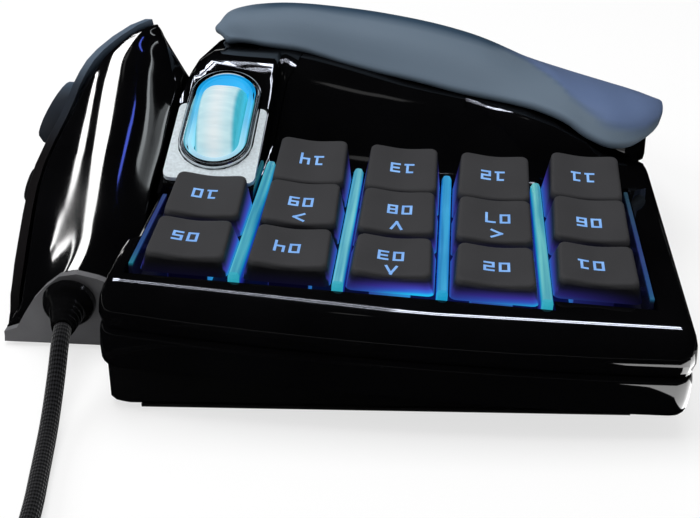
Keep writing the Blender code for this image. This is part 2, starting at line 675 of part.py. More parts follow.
def light_guide(deck):
    """Clear glowing ribs between the key columns, joined by three bars below the keys."""
    material = finish("lit acrylic light guide", (0.02, 0.45, 0.80), 0.25, glow=1.5)
    stacks = []
    front = -WINDOW_FRONT + FIT_GAP
    back = WINDOW_BACK - FIT_GAP
    for column in range(1, COLUMN_COUNT):
        u = (column - 0.5 * COLUMN_COUNT) * KEY_PITCH
        half = 0.5 * (back - front)
        middle = 0.5 * (back + front)
        full = box_outline(0.5 * RIB_WIDTH, half, RIB_WIDTH * 0.45, 2, u, middle)
        slim = box_outline(0.5 * RIB_WIDTH - 0.5 * RIB_ROUND, half - 0.5 * RIB_ROUND, RIB_WIDTH * 0.25, 2, u, middle)
        stacks.append([at_height(full, GUIDE_FOOT_W), at_height(full, RIB_TOP_W - RIB_ROUND), at_height(slim, RIB_TOP_W)])
    guide = ring_group("light_guide", stacks, material, deck)
    left = block((-STRIP_SIDE - 0.5 * STRIP_WIDTH, 0.0, GUIDE_FOOT_W),
                 (-STRIP_SIDE + 0.5 * STRIP_WIDTH, POD_FRONT - RIB_WIDTH, RIB_TOP_W - RIB_ROUND))
    right = block((STRIP_SIDE - 0.5 * STRIP_WIDTH, WINDOW_STEP, GUIDE_FOOT_W),
                  (STRIP_SIDE + 0.5 * STRIP_WIDTH, WINDOW_BACK, RIB_TOP_W - RIB_ROUND))
    bars = []
    for row in range(len(ROW_EDGE_W)):
        v = row * ROW_PITCH - KEY_FRONT_FLARE - 0.5 * GUIDE_BAR_WIDTH
        bars.append(block((-GUIDE_BAR_HALF - STRIP_WIDTH, v, GUIDE_FOOT_W),
                          (GUIDE_BAR_HALF + STRIP_WIDTH, v + GUIDE_BAR_WIDTH, GUIDE_FOOT_W + GUIDE_BAR)))
    bars[-1] = block((-POD_SIDE + FIT_GAP, bars[-1][0][0][1], GUIDE_FOOT_W),
                     (GUIDE_BAR_HALF + STRIP_WIDTH, bars[-1][0][2][1], GUIDE_FOOT_W + GUIDE_BAR))
    for name, rings in (("left strip", left), ("right strip", right)):
        combine(guide, ring_solid(name, rings, None, deck), "UNION")
    for k, rings in enumerate(bars):
        combine(guide, ring_solid(f"guide bar {k}", rings, None, deck), "UNION")
    return guide


def inner_outline(grow=0.0):
    """The flat plates inside the deck: a rectangle with the wheel's corner left free."""
    left = -CARRIER_LEFT - grow
    right = CARRIER_RIGHT + grow
    front = -CARRIER_FRONT - grow
    back = CARRIER_BACK + grow
    notch = -POD_SIDE + STEM_CORNER
    corner = STEM_CORNER
    corners = [(left, front), (right, front), (right, back), (notch, back), (notch, POD_FRONT), (left, POD_FRONT)]
    return rounded_outline(corners, [corner] * len(corners), 2)


def build_inside(deck):
    """The plate that guides the plungers, the rubber dome sheet and the circuit board."""
    plate = inner_outline()
    top = GUIDE_FOOT_W - FIT_GAP
    carrier = ring_solid("key_carrier", [at_height(plate, top - CARRIER_PLATE), at_height(plate, top)],
                         finish("carrier plate", (0.03, 0.03, 0.03), 0.5), deck)
    half = 0.5 * STEM_SIDE + FIT_GAP
    holes = []
    for number, column, row in key_places():
        u, v = key_centre(column, row)
        hole = box_outline(half, half, STEM_CORNER, 2, u, v)
        holes.append([at_height(hole, top - CARRIER_PLATE - OVERRUN), at_height(hole, top + OVERRUN)])
    combine(carrier, ring_group("plunger holes", holes, None, deck), "DIFFERENCE")

    board_top = BOARD_W + BOARD_PLATE
    ring_solid("circuit_board", [at_height(plate, BOARD_W), at_height(plate, board_top)],
               finish("solder mask green", (0.01, 0.12, 0.05), 0.4), deck)
    sheet_low = board_top + FIT_GAP
    sheet_top = sheet_low + SHEET_PLATE
    sheet = ring_solid("dome_sheet", [at_height(plate, sheet_low), at_height(plate, sheet_top)],
                       finish("translucent silicone", (0.45, 0.45, 0.42), 0.6), deck)
    domes = []
    for number, column, row in key_places():
        u, v = key_centre(column, row)
        domes.append([at_height(circle(DOME_BASE_RADIUS, DOME_SIDES, u, v), sheet_low + 0.5 * SHEET_PLATE),
                      at_height(circle(DOME_TOP_RADIUS, DOME_SIDES, u, v), sheet_top + DOME_HIGH)])
    combine(sheet, ring_group("domes", domes, None, deck), "UNION")


def pod_frame():
    """The tilted frame of the wheel plate: x along u, y up the slope, z out of it."""
    turn = Matrix.Rotation(POD_TILT, 4, "X")
    return Matrix.Translation((0.0, POD_START_V, POD_START_W)) @ turn


def pod_body(deck):
    """The black block that rises behind the shortest column and carries the wheel."""
    frame = pod_frame()

    def on_slope(s, n):
        place = frame @ Vector((0.0, s, n))
        return place.y, place.z

    step = -PLATE_THICK - FIT_GAP
    profile = [on_slope(PLATE_MARGIN, -OVERRUN), on_slope(PLATE_MARGIN, step),
               on_slope(PLATE_END + FIT_GAP, step), on_slope(PLATE_END + FIT_GAP, 0.0),
               on_slope(RING_CENTRE_S + RING_HALF_LENGTH, 0.0),
               (POD_CREST_V - RING_BAND, POD_CREST_W - 0.25 * RING_BAND), (POD_CREST_V, POD_CREST_W),
               (POD_CREST_V + RING_BAND, POD_CREST_W), (POD_REST_V, POD_REST_W),
               (hump_end(-POD_SIDE), POD_REST_W - POD_FALL), (hump_end(-POD_SIDE), POD_FOOT_W),
               (POD_START_V + OVERRUN, POD_FOOT_W)]
    rings = []
    for u, drop in ((-POD_LEFT, POD_SHOULDER), (-POD_LEFT + 0.35 * POD_SHOULDER, 0.4 * POD_SHOULDER),
                    (-POD_LEFT + POD_SHOULDER, 0.0), (-POD_SIDE - 0.2 * POD_SHOULDER, 0.0),
                    (-POD_SIDE, 0.12 * POD_SHOULDER)):
        ring = []
        for v, w in profile:
            share = min(max((v - HUMP_FOOT_V) / (POD_CREST_V - HUMP_FOOT_V), 0.0), 1.0)
            ring.append((u, v, w if w < DECK_W else w - drop * share))
        rings.append(ring)
    return ring_solid("wheel pod block", rings, None, deck)


def hump_end(x):
    """Where the hump and the wheel pod end at the back, at one place across."""
    inset = UPPER_SIDE_INSET + HUMP_SETBACK
    return min(CASING_BACK - inset, slant_line(inset) - x)


def hump_stations():
    """Where the hump is worked out: plan place, ramp top and height. Its start lies inside the wheel pod."""
    table = np.array(HUMP_TOP_SHARES)
    x = np.linspace(-POD_SIDE - HUMP_ROOT, HUMP_RIGHT, HUMP_STATION_COUNT)
    shares = (x + POD_SIDE) / (HUMP_RIGHT + POD_SIDE)
    height = np.interp(shares, table[:, 0], table[:, 1]) * HUMP_HEIGHT
    ramp = np.interp(shares, table[:, 0], table[:, 2]) * HUMP_RAMP
    return x, ramp, height


def hump_top(x, y):
    """How high the hump, or the wheel pod beside it, stands at a place under the palm rest."""
    places, ramps, heights = hump_stations()
    ends = [hump_end(place) for place in places]
    ramp, height, end = (float(np.interp(x, places, run)) for run in (ramps, heights, ends))
    level = float(np.interp(y, (hump_middle(ramp, end), end), (height, height - HUMP_FALL)))
    if x < -POD_SIDE + POD_SHOULDER:
        level = max(level, deck_height(x, POD_REST_W - POD_FALL * (y - POD_REST_V) / (end - POD_REST_V)))
    return level


def hump_middle(ramp, end):
    """Where the flat of the hump starts to fall."""
    return 0.5 * (HUMP_FOOT_V + ramp + end)


def hump_profile(x, ramp, height, lift):
    """The hump's upper line at one station: a ramp behind the keys and a flat top."""
    foot = deck_height(x, DECK_W) - HUMP_SINK
    points = []
    for share_y, share_z in ((0.0, 0.0), (0.30, 0.24), (0.62, 0.66), (0.84, 0.91), (1.0, 1.0)):
        y = HUMP_FOOT_V + ramp * share_y
        points.append((x, y, foot + (height - foot) * share_z + lift))
    end = hump_end(x)
    points.append((x, hump_middle(ramp, end), height + lift))
    points.append((x, end, height - HUMP_FALL + lift))
    return points


def hump_solid(name, lift, low_lift, unit):
    """A body under the hump's surface, or a layer of it when the low lift is given."""
    rings = []
    for x, ramp, height in zip(*hump_stations()):
        top = hump_profile(x, ramp, height, lift)
        if low_lift is None:
            floor = deck_height(x, POD_FOOT_W)
            low = [(p[0], p[1], floor) for p in reversed(top)]
        else:
            low = list(reversed(hump_profile(x, ramp, height, low_lift)))
        rings.append(top + low)
    return ring_solid(name, rings, None, unit)


def cover_prism(name, grow, unit):
    """The cover's outline seen from above, as a tall prism."""
    corners = []
    depth = hump_end(-POD_SIDE) - COVER_MARGIN - HUMP_FOOT_V
    for across, back in COVER_OUTLINE_SHARES:
        x = -POD_SIDE + across * (HUMP_RIGHT + POD_SIDE)
        corners.append((x, HUMP_FOOT_V + back * depth))
    middle = Vector((sum(c[0] for c in corners), sum(c[1] for c in corners))) / len(corners)
    grown = [tuple(Vector(c) + (Vector(c) - middle).normalized() * grow) for c in corners]
    return ring_solid(name, [at_height(grown, 0.0), at_height(grown, 2.0 * HUMP_HEIGHT)], None, unit)


def slope_rings(outlines):
    """Rings on the wheel plate's slope, in deck places."""
    return set_rings(pod_frame(), outlines)


def build_upper_casing(deck, unit):
    """The gloss upper shell: deck, wheel pod and hump, hollow below, open over the keys."""
    top = DECK_W
    bottom = SEAM_W + 0.5 * FIT_GAP
    rings = [at_height(casing_outline(SEAM_GROOVE), bottom)]
    for up, inset in UPPER_LEVEL_SHARES:
        outline = casing_outline(inset * UPPER_SIDE_INSET, inset * UPPER_FRONT_INSET)
        rings.append(at_height(outline, bottom + up * (top - bottom)))
    casing = ring_solid("upper_casing", rings, gloss_black("gloss black upper casing"), deck)
    combine(casing, pod_body(deck), "UNION")
    combine(casing, hump_solid("hump block", 0.0, None, unit), "UNION")

    inside = casing_outline(CASING_WALL, CASING_FRONT_WALL)
    cavity = ring_solid("upper cavity", [at_height(inside, bottom - OVERRUN), at_height(inside, top - DECK_PLATE)],
                        None, deck)
    combine(casing, cavity, "DIFFERENCE")
    window = [(-WINDOW_HALF, -WINDOW_FRONT), (WINDOW_STEP_SIDE, -WINDOW_FRONT),
              (WINDOW_STEP_SIDE, -WINDOW_FRONT + WINDOW_STEP), (WINDOW_HALF, -WINDOW_FRONT + WINDOW_STEP),
              (WINDOW_HALF, WINDOW_BACK + WINDOW_STEP), (WINDOW_STEP_REAR_SIDE, WINDOW_BACK + WINDOW_STEP),
              (WINDOW_STEP_REAR_SIDE, WINDOW_BACK), (-POD_SIDE + FIT_GAP, WINDOW_BACK), (-POD_SIDE + FIT_GAP, POD_FRONT),
              (-WINDOW_HALF, POD_FRONT)]
    opening = ring_solid("key window", [at_height(window, top - OVERRUN), at_height(window, top + OVERRUN)], None, deck)
    combine(casing, opening, "DIFFERENCE")
    well = stadium(RING_HALF_WIDTH - RING_BAND + FIT_GAP, RING_HALF_LENGTH - RING_BAND + FIT_GAP, RING_ARC_STEPS,
                   RING_CENTRE_U, RING_CENTRE_S)
    deep = -2.0 * WHEEL_RADIUS
    combine(casing, ring_solid("wheel well", slope_rings([(well, deep), (well, OVERRUN)]), None, deck), "DIFFERENCE")
    recess = hump_solid("cover layer", OVERRUN, -COVER_THICK - FIT_GAP, unit)
    combine(recess, cover_prism("recess outline", FIT_GAP, unit), "INTERSECT")
    combine(casing, recess, "DIFFERENCE")

    cover = hump_solid("hump_cover", 0.0, -COVER_THICK, unit)
    cover.data.materials.append(gloss_black("gloss black hump cover"))
    combine(cover, cover_prism("cover outline", 0.0, unit), "INTERSECT")
    return casing


def build_lower_casing(deck):
    """The tray below the seam, with posts for the board and slots for the palm rest's rails."""
    top = SEAM_W - 0.5 * FIT_GAP
    height = top - LOWER_BOTTOM_W
    rings = []
    for up, inset in LOWER_LEVEL_SHARES:
        rings.append(at_height(casing_outline(inset * LOWER_EDGE_INSET), LOWER_BOTTOM_W + up * height))
    rings.append(at_height(casing_outline(SEAM_GROOVE), top))
    casing = ring_solid("lower_casing", rings, gloss_black("gloss black lower casing"), deck)
    inside = casing_outline(CASING_WALL)
    floor = LOWER_BOTTOM_W + LOWER_FLOOR
    cavity = ring_solid("tray cavity", [at_height(inside, floor), at_height(inside, top + OVERRUN)], None, deck)
    combine(casing, cavity, "DIFFERENCE")
    posts = []
    for u, v in ((-POST_SIDE, POST_FRONT_V), (POST_SIDE, POST_FRONT_V), (0.0, POST_FRONT_V), (0.0, POST_BACK_V),
                 (POST_SIDE, POST_BACK_V)):
        foot = circle(POST_RADIUS, POST_SIDES, u, v)
        posts.append([at_height(foot, floor - 0.5 * LOWER_FLOOR), at_height(foot, BOARD_W - FIT_GAP)])
    combine(casing, ring_group("board posts", posts, None, deck), "UNION")
    slots = ring_group("rail slots", [rail_rings(side, FIT_GAP, OVERRUN) for side in (-1.0, 1.0)], None, None)
    combine(casing, slots, "DIFFERENCE")
    return casing


def build_wheel(deck):
    """The silver plate, the chrome ring, the lit ring, and the wheel in its click carriage."""
    left = -POD_LEFT + PLATE_MARGIN
    right = -POD_SIDE
    middle = 0.5 * (left + right)
    plate_outline = box_outline(0.5 * (right - left), 0.5 * (PLATE_END - PLATE_START), PLATE_CORNER, CORNER_STEPS,
                                middle, 0.5 * (PLATE_END + PLATE_START))
    plate = ring_solid("wheel_plate", slope_rings([(plate_outline, -PLATE_THICK), (plate_outline, 0.0)]),
                       finish("satin silver plate", (0.62, 0.68, 0.72), 0.32, 1.0), deck)

    def slot(half_width, grow=0.0):
        shrink = RING_HALF_WIDTH - half_width - grow
        return stadium(half_width + grow, RING_HALF_LENGTH - shrink, RING_ARC_STEPS, RING_CENTRE_U, RING_CENTRE_S)

    hole = slot(RING_HALF_WIDTH, FIT_GAP)
    combine(plate, ring_solid("plate hole", slope_rings([(hole, -OVERRUN), (hole, OVERRUN)]), None, deck), "DIFFERENCE")

    seat = -PLATE_THICK - RING_SEAT
    outer = slot(RING_HALF_WIDTH)
    crown = slot(RING_HALF_WIDTH - 0.35 * RING_BAND)
    inner = slot(RING_HALF_WIDTH - RING_BAND)
    ring = ring_solid("wheel_bezel", slope_rings([(outer, seat), (outer, 0.5 * RING_PROUD), (crown, RING_PROUD)]),
                      finish("bright chrome ring", (0.75, 0.77, 0.80), 0.08, 1.0), deck)
    combine(ring, ring_solid("bezel hole", slope_rings([(inner, -OVERRUN), (inner, OVERRUN)]), None, deck), "DIFFERENCE")
    pod = bpy.data.objects["upper_casing"]
    cut = slot(RING_HALF_WIDTH, FIT_GAP)
    combine(pod, ring_solid("bezel seat", slope_rings([(cut, seat - FIT_GAP), (cut, OVERRUN)]), None, deck), "DIFFERENCE")

    glow_outer = slot(GLOW_HALF_WIDTH)
    glow_inner = slot(GLOW_HALF_WIDTH - GLOW_BAND)
    glow = ring_solid("wheel_glow_ring", slope_rings([(glow_outer, -GLOW_DEPTH), (glow_outer, 0.6 * RING_PROUD)]),
                      finish("lit acrylic wheel ring", (0.05, 0.50, 0.75), 0.2, glow=1.2), deck)
    combine(glow, ring_solid("glow hole", slope_rings([(glow_inner, -OVERRUN), (glow_inner, OVERRUN)]), None, deck),
            "DIFFERENCE")

    hub_place = pod_frame() @ Vector((RING_CENTRE_U, RING_CENTRE_S, -WHEEL_SINK))
    hub = empty("wheel_hub", hub_place, Matrix.Rotation(POD_TILT, 4, "X"), deck)
    sideways = axis_frame((0.0, 0.0, 0.0), (1.0, 0.0, 0.0), (0.0, 1.0, 0.0))

    def turned(sides, steps):
        """Rings about the axle from (radius, place along it)."""
        return [[sideways @ Vector((p[0], p[1], x)) for p in circle(radius, sides)] for radius, x in steps]

    half = 0.5 * WHEEL_WIDTH
    ribs = []
    for radius, x in ((WHEEL_RADIUS - 3.0 * WHEEL_RIB_DEPTH, -half), (WHEEL_RADIUS - WHEEL_RIB_DEPTH, -0.72 * half),
                      (WHEEL_RADIUS, -0.3 * half), (WHEEL_RADIUS, 0.3 * half),
                      (WHEEL_RADIUS - WHEEL_RIB_DEPTH, 0.72 * half), (WHEEL_RADIUS - 3.0 * WHEEL_RIB_DEPTH, half)):
        ring_points = []
        for k in range(2 * WHEEL_RIB_COUNT):
            angle = TURN * k / (2 * WHEEL_RIB_COUNT)
            reach = radius - (WHEEL_RIB_DEPTH if k % 2 else 0.0)
            ring_points.append(sideways @ Vector((reach * math.cos(angle), reach * math.sin(angle), x)))
        ribs.append(ring_points)
    wheel = ring_solid("scroll_wheel", ribs, finish("milky polycarbonate wheel", (0.66, 0.70, 0.72), 0.35), hub)
    bore = ring_solid("wheel bore", turned(AXLE_SIDES, ((WHEEL_BORE, -half - OVERRUN), (WHEEL_BORE, half + OVERRUN))),
                      None, hub)
    combine(wheel, bore, "DIFFERENCE")

    arm_in = half + ARM_GAP
    arm_out = arm_in + ARM_THICK
    ring_solid("wheel_axle", turned(AXLE_SIDES, ((AXLE_RADIUS, -arm_out), (AXLE_RADIUS, arm_out))),
               finish("steel axle", (0.55, 0.55, 0.56), 0.3, 1.0), hub)
    low = -WHEEL_RADIUS - CARRIAGE_CLEAR
    arm = ARM_HALF_LENGTH
    frame_rings = block((-arm_out, -arm, low - CARRIAGE_FLOOR), (arm_out, arm, ARM_TOP))
    carriage = ring_solid("wheel_carriage", frame_rings, finish("acetal carriage", (0.08, 0.08, 0.08), 0.5), hub)
    gap = ring_solid("carriage gap", block((-arm_in, -arm - OVERRUN, low), (arm_in, arm + OVERRUN, ARM_TOP + OVERRUN)),
                     None, hub)
    combine(carriage, gap, "DIFFERENCE")
    reach = arm_out + OVERRUN
    holes = ring_solid("carriage holes", turned(AXLE_SIDES, ((WHEEL_BORE, -reach), (WHEEL_BORE, reach))), None, hub)
    combine(carriage, holes, "DIFFERENCE")


def build_base(unit):
    """The plain wedge under the casing, its rubber strips and the case screws."""
    def outline(inset):
        """The wedge seen from above, drawn in by an inset: its front runs askew."""
        left = -BASE_LEFT + inset
        right = BASE_RIGHT - inset
        back = BASE_BACK - inset
        slant = slant_line(BASE_SLANT_INSET + inset)
        placed = [(left, -BASE_FRONT + inset), (right, BASE_SKEW - BASE_FRONT + inset), (right, slant - right),
                  (slant - back, back), (left + BASE_LEFT_STEP, back), (left + BASE_LEFT_STEP, STEP_BACK_V),
                  (left, STEP_FRONT_V)]
        return rounded_outline(placed, [BASE_CORNER] * (len(placed) - 2) + [STEP_ROUND] * 2, CORNER_STEPS)

    floor = FOOT_THICK + FIT_GAP
    side = outline(0.0)
    lid = [(x, y, deck_height(x, LOWER_BOTTOM_W - FIT_GAP)) for x, y in outline(BASE_CHAMFER)]
    brow = [(x, y, deck_height(x, LOWER_BOTTOM_W - FIT_GAP) - BASE_CHAMFER) for x, y in side]
    base = ring_solid("base_wedge", [at_height(outline(BASE_CHAMFER), floor), at_height(side, floor + BASE_CHAMFER),
                                     brow, lid], finish("black base plastic", (0.01, 0.01, 0.01), 0.25), unit)
    holes = []
    zinc = finish("zinc screw", (0.5, 0.5, 0.5), 0.35, 1.0)
    screw_top = floor + SCREW_SINK + SCREW_HEAD
    for end, y in (("front", SCREW_FRONT_Y), ("rear", SCREW_BACK_Y)):
        for side, x in (("left", -SCREW_SIDE), ("right", SCREW_SIDE)):
            head = circle(SCREW_RADIUS, SCREW_SIDES, x, y)
            hole = circle(SCREW_RADIUS + FIT_GAP, SCREW_SIDES, x, y)
            holes.append([at_height(hole, floor - OVERRUN), at_height(hole, screw_top + FIT_GAP)])
            ring_solid(f"case_screw_{end}_{side}", [at_height(head, floor + SCREW_SINK), at_height(head, screw_top)],
                       zinc, unit)
    combine(base, ring_group("screw holes", holes, None, unit), "DIFFERENCE")

    rubber = finish("black rubber feet", (0.015, 0.015, 0.015), 0.85)
    left = -BASE_LEFT + BASE_CORNER + BASE_LEFT_STEP
    right = BASE_RIGHT - BASE_CORNER
    front = FOOT_INSET - BASE_FRONT
    rear = BASE_BACK - BASE_CORNER - FOOT_WIDTH
    rear_right = slant_line(BASE_SLANT_INSET) - rear - FOOT_WIDTH - BASE_CORNER
    for end, y_left, y_right, right in (("front", front, front + BASE_SKEW, right), ("rear", rear, rear, rear_right)):
        strip = [(left, y_left), (right, y_right), (right, y_right + FOOT_WIDTH), (left, y_left + FOOT_WIDTH)]
        ring_solid(f"base_foot_{end}", [at_height(strip, 0.0), at_height(strip, FOOT_THICK)], rubber, unit)


def wing_place(pair):
    """A section's place across the wing and above the table, from its shares."""
    return WING_X + pair[0] * WING_WIDTH, pair[1] * WING_HEIGHT


def wing_seat(shares):
    """The place of a thumb control, from its shares of the wing."""
    x, z = wing_place(shares[1])
    return x, WING_Y + shares[0] * WING_LENGTH, z


def wing_stations():
    """The table's sections made smooth along the wing, each a flat row of shares."""
    flat = []
    for share_y, edge, brow, nose, shoulder, root, middle, foot, lip in WING_STATION_SHARES:
        flat.append((share_y, *edge, *brow, *nose, *shoulder, *root, *middle, foot, lip))
    return smooth_path(flat, WING_RING_COUNT)


def boot_height():
    """The middle of the strain relief: below the nose of the wing's toe by a margin."""
    return wing_place(WING_STATION_SHARES[0][3])[1] - BOOT_BASE_RADIUS - BOOT_MARGIN


def wing_curves(station):
    """The wing's section at one station: its place, the thumb side by height, the gloss brow and the lip."""
    share_y = station[0]
    edge, brow, nose, shoulder, root, middle = station[1:-2].reshape(-1, 2)
    foot, lip = station[-2:]
    y = WING_Y + share_y * WING_LENGTH
    side = smooth_path([(WING_X + foot * WING_WIDTH, WING_FLOOR), wing_place(middle), wing_place(edge)], 3 * SIDE_POINT_COUNT)
    ex, ez = wing_place(edge)
    start = (ex + PANEL_THICK + PANEL_CLEAR, ez + PANEL_RISE)
    over = smooth_path([start] + [wing_place(p) for p in (brow, nose, shoulder, root)], BROW_POINT_COUNT)
    return y, side, over, lip


def side_run(side, low, count):
    """The thumb side from a height up to its upper edge."""
    heights = np.linspace(low, side[-1][1], count)
    return [(float(np.interp(z, side[:, 1], side[:, 0])), z) for z in heights]


def wing_ring(station, recess=True):
    """A closed section of the wing's shell, from the thumb side's foot over the nose."""
    y, side, over, lip = wing_curves(station)
    inset = PANEL_THICK + PANEL_CLEAR if recess else 0.0
    ledge = min(PANEL_FOOT - FIT_GAP, 0.5 * (side[0][1] + side[-1][1]))
    run = side_run(side, ledge, SIDE_POINT_COUNT)
    points = [(side[0][0], y, WING_FLOOR), (run[0][0], y, ledge)]
    points += [(x + inset, y, z + (PANEL_EASE if k == 0 else 0.0)) for k, (x, z) in enumerate(run[:-1])]
    points += [(x, y, z) for x, z in over]
    root_x = WING_X + WING_ROOT_SHARE * WING_WIDTH
    points.append((root_x, y, min(over[-1][1] - PANEL_RISE, WING_LOW_SHARE * WING_HEIGHT)))
    points.append((root_x, y, WING_FLOOR))
    return points


def build_wing(unit):
    """The gloss shell, its dark end plate at the toe, the rubber strip and the thumb panel."""
    stations = wing_stations()
    rings = [wing_ring(station, recess=k > 0) for k, station in enumerate(stations)]
    last = rings[-1]
    tail = []
    for x, y, z in last:
        inward = math.copysign(WING_TAIL, 0.5 * (last[0][0] + last[-1][0]) - x)
        tail.append((x + 0.5 * inward, y + WING_TAIL, max(z - WING_TAIL_DROP, WING_FLOOR)))
    tail[0] = (tail[0][0], tail[0][1], WING_FLOOR)
    rings.append(tail)
    shell = ring_solid("wing_shell", rings, gloss_black("gloss black wing"), unit)

    toe = wing_ring(stations[0], recess=False)
    plate_back = toe[0][1] - END_PLATE_MARGIN
    plate = ring_solid("wing_end_plate", [[(x, plate_back - END_PLATE_THICK, z) for x, y, z in toe],
                                          [(x, plate_back, z) for x, y, z in toe]],
                       finish("dark grey end plate", (0.07, 0.07, 0.075), 0.55), unit)
    bore_frame = axis_frame((BOOT_X, plate_back, boot_height()), (0.0, -1.0, 0.0), (0.0, 0.0, 1.0))
    bore = circle(BOOT_BASE_RADIUS + FIT_GAP, BOOT_SIDES)
    combine(plate, ring_solid("boot hole", set_rings(bore_frame, [(bore, -OVERRUN), (bore, OVERRUN)]), None, unit),
            "DIFFERENCE")
    socket = ring_solid("boot socket", set_rings(bore_frame, [(bore, -OVERRUN), (bore, OVERRUN)]), None, unit)
    combine(shell, socket, "DIFFERENCE")

    strip_x = (toe[0][0] + FOOT_INSET, WING_X + WING_ROOT_SHARE * WING_WIDTH - FOOT_INSET)
    rubber = finish("black rubber strip", (0.015, 0.015, 0.015), 0.85)
    for end, y in (("front", plate_back + FOOT_INSET), ("rear", WING_Y + WING_LENGTH - 2.0 * FOOT_WIDTH)):
        ring_solid(f"wing_foot_{end}", block((strip_x[0], y, 0.0), (strip_x[1], y + FOOT_WIDTH, FOOT_THICK)), rubber, unit)

    panel_rings = []
    for station in stations[1:]:
        y, side, over, lip = wing_curves(station)
        outer = [(x, y, z) for x, z in side_run(side, PANEL_FOOT, SIDE_POINT_COUNT)]
        brim = outer[-1]
        outer.append((brim[0] + PANEL_BRIM, y, brim[2] + max(lip * PANEL_LIP, PANEL_BRIM)))
        inner = [(x + PANEL_THICK, y, z) for x, y, z in outer[:-1]]
        inner.append((brim[0] + PANEL_THICK, y, outer[-1][2]))
        panel_rings.append(outer + list(reversed(inner)))
    panel_rings[0] = [(x, y + FIT_GAP, z) for x, y, z in panel_rings[0]]
    panel = ring_solid("thumb_panel", panel_rings, finish("soft touch blue grey", (0.10, 0.14, 0.19), 0.6), unit)
    return shell, panel


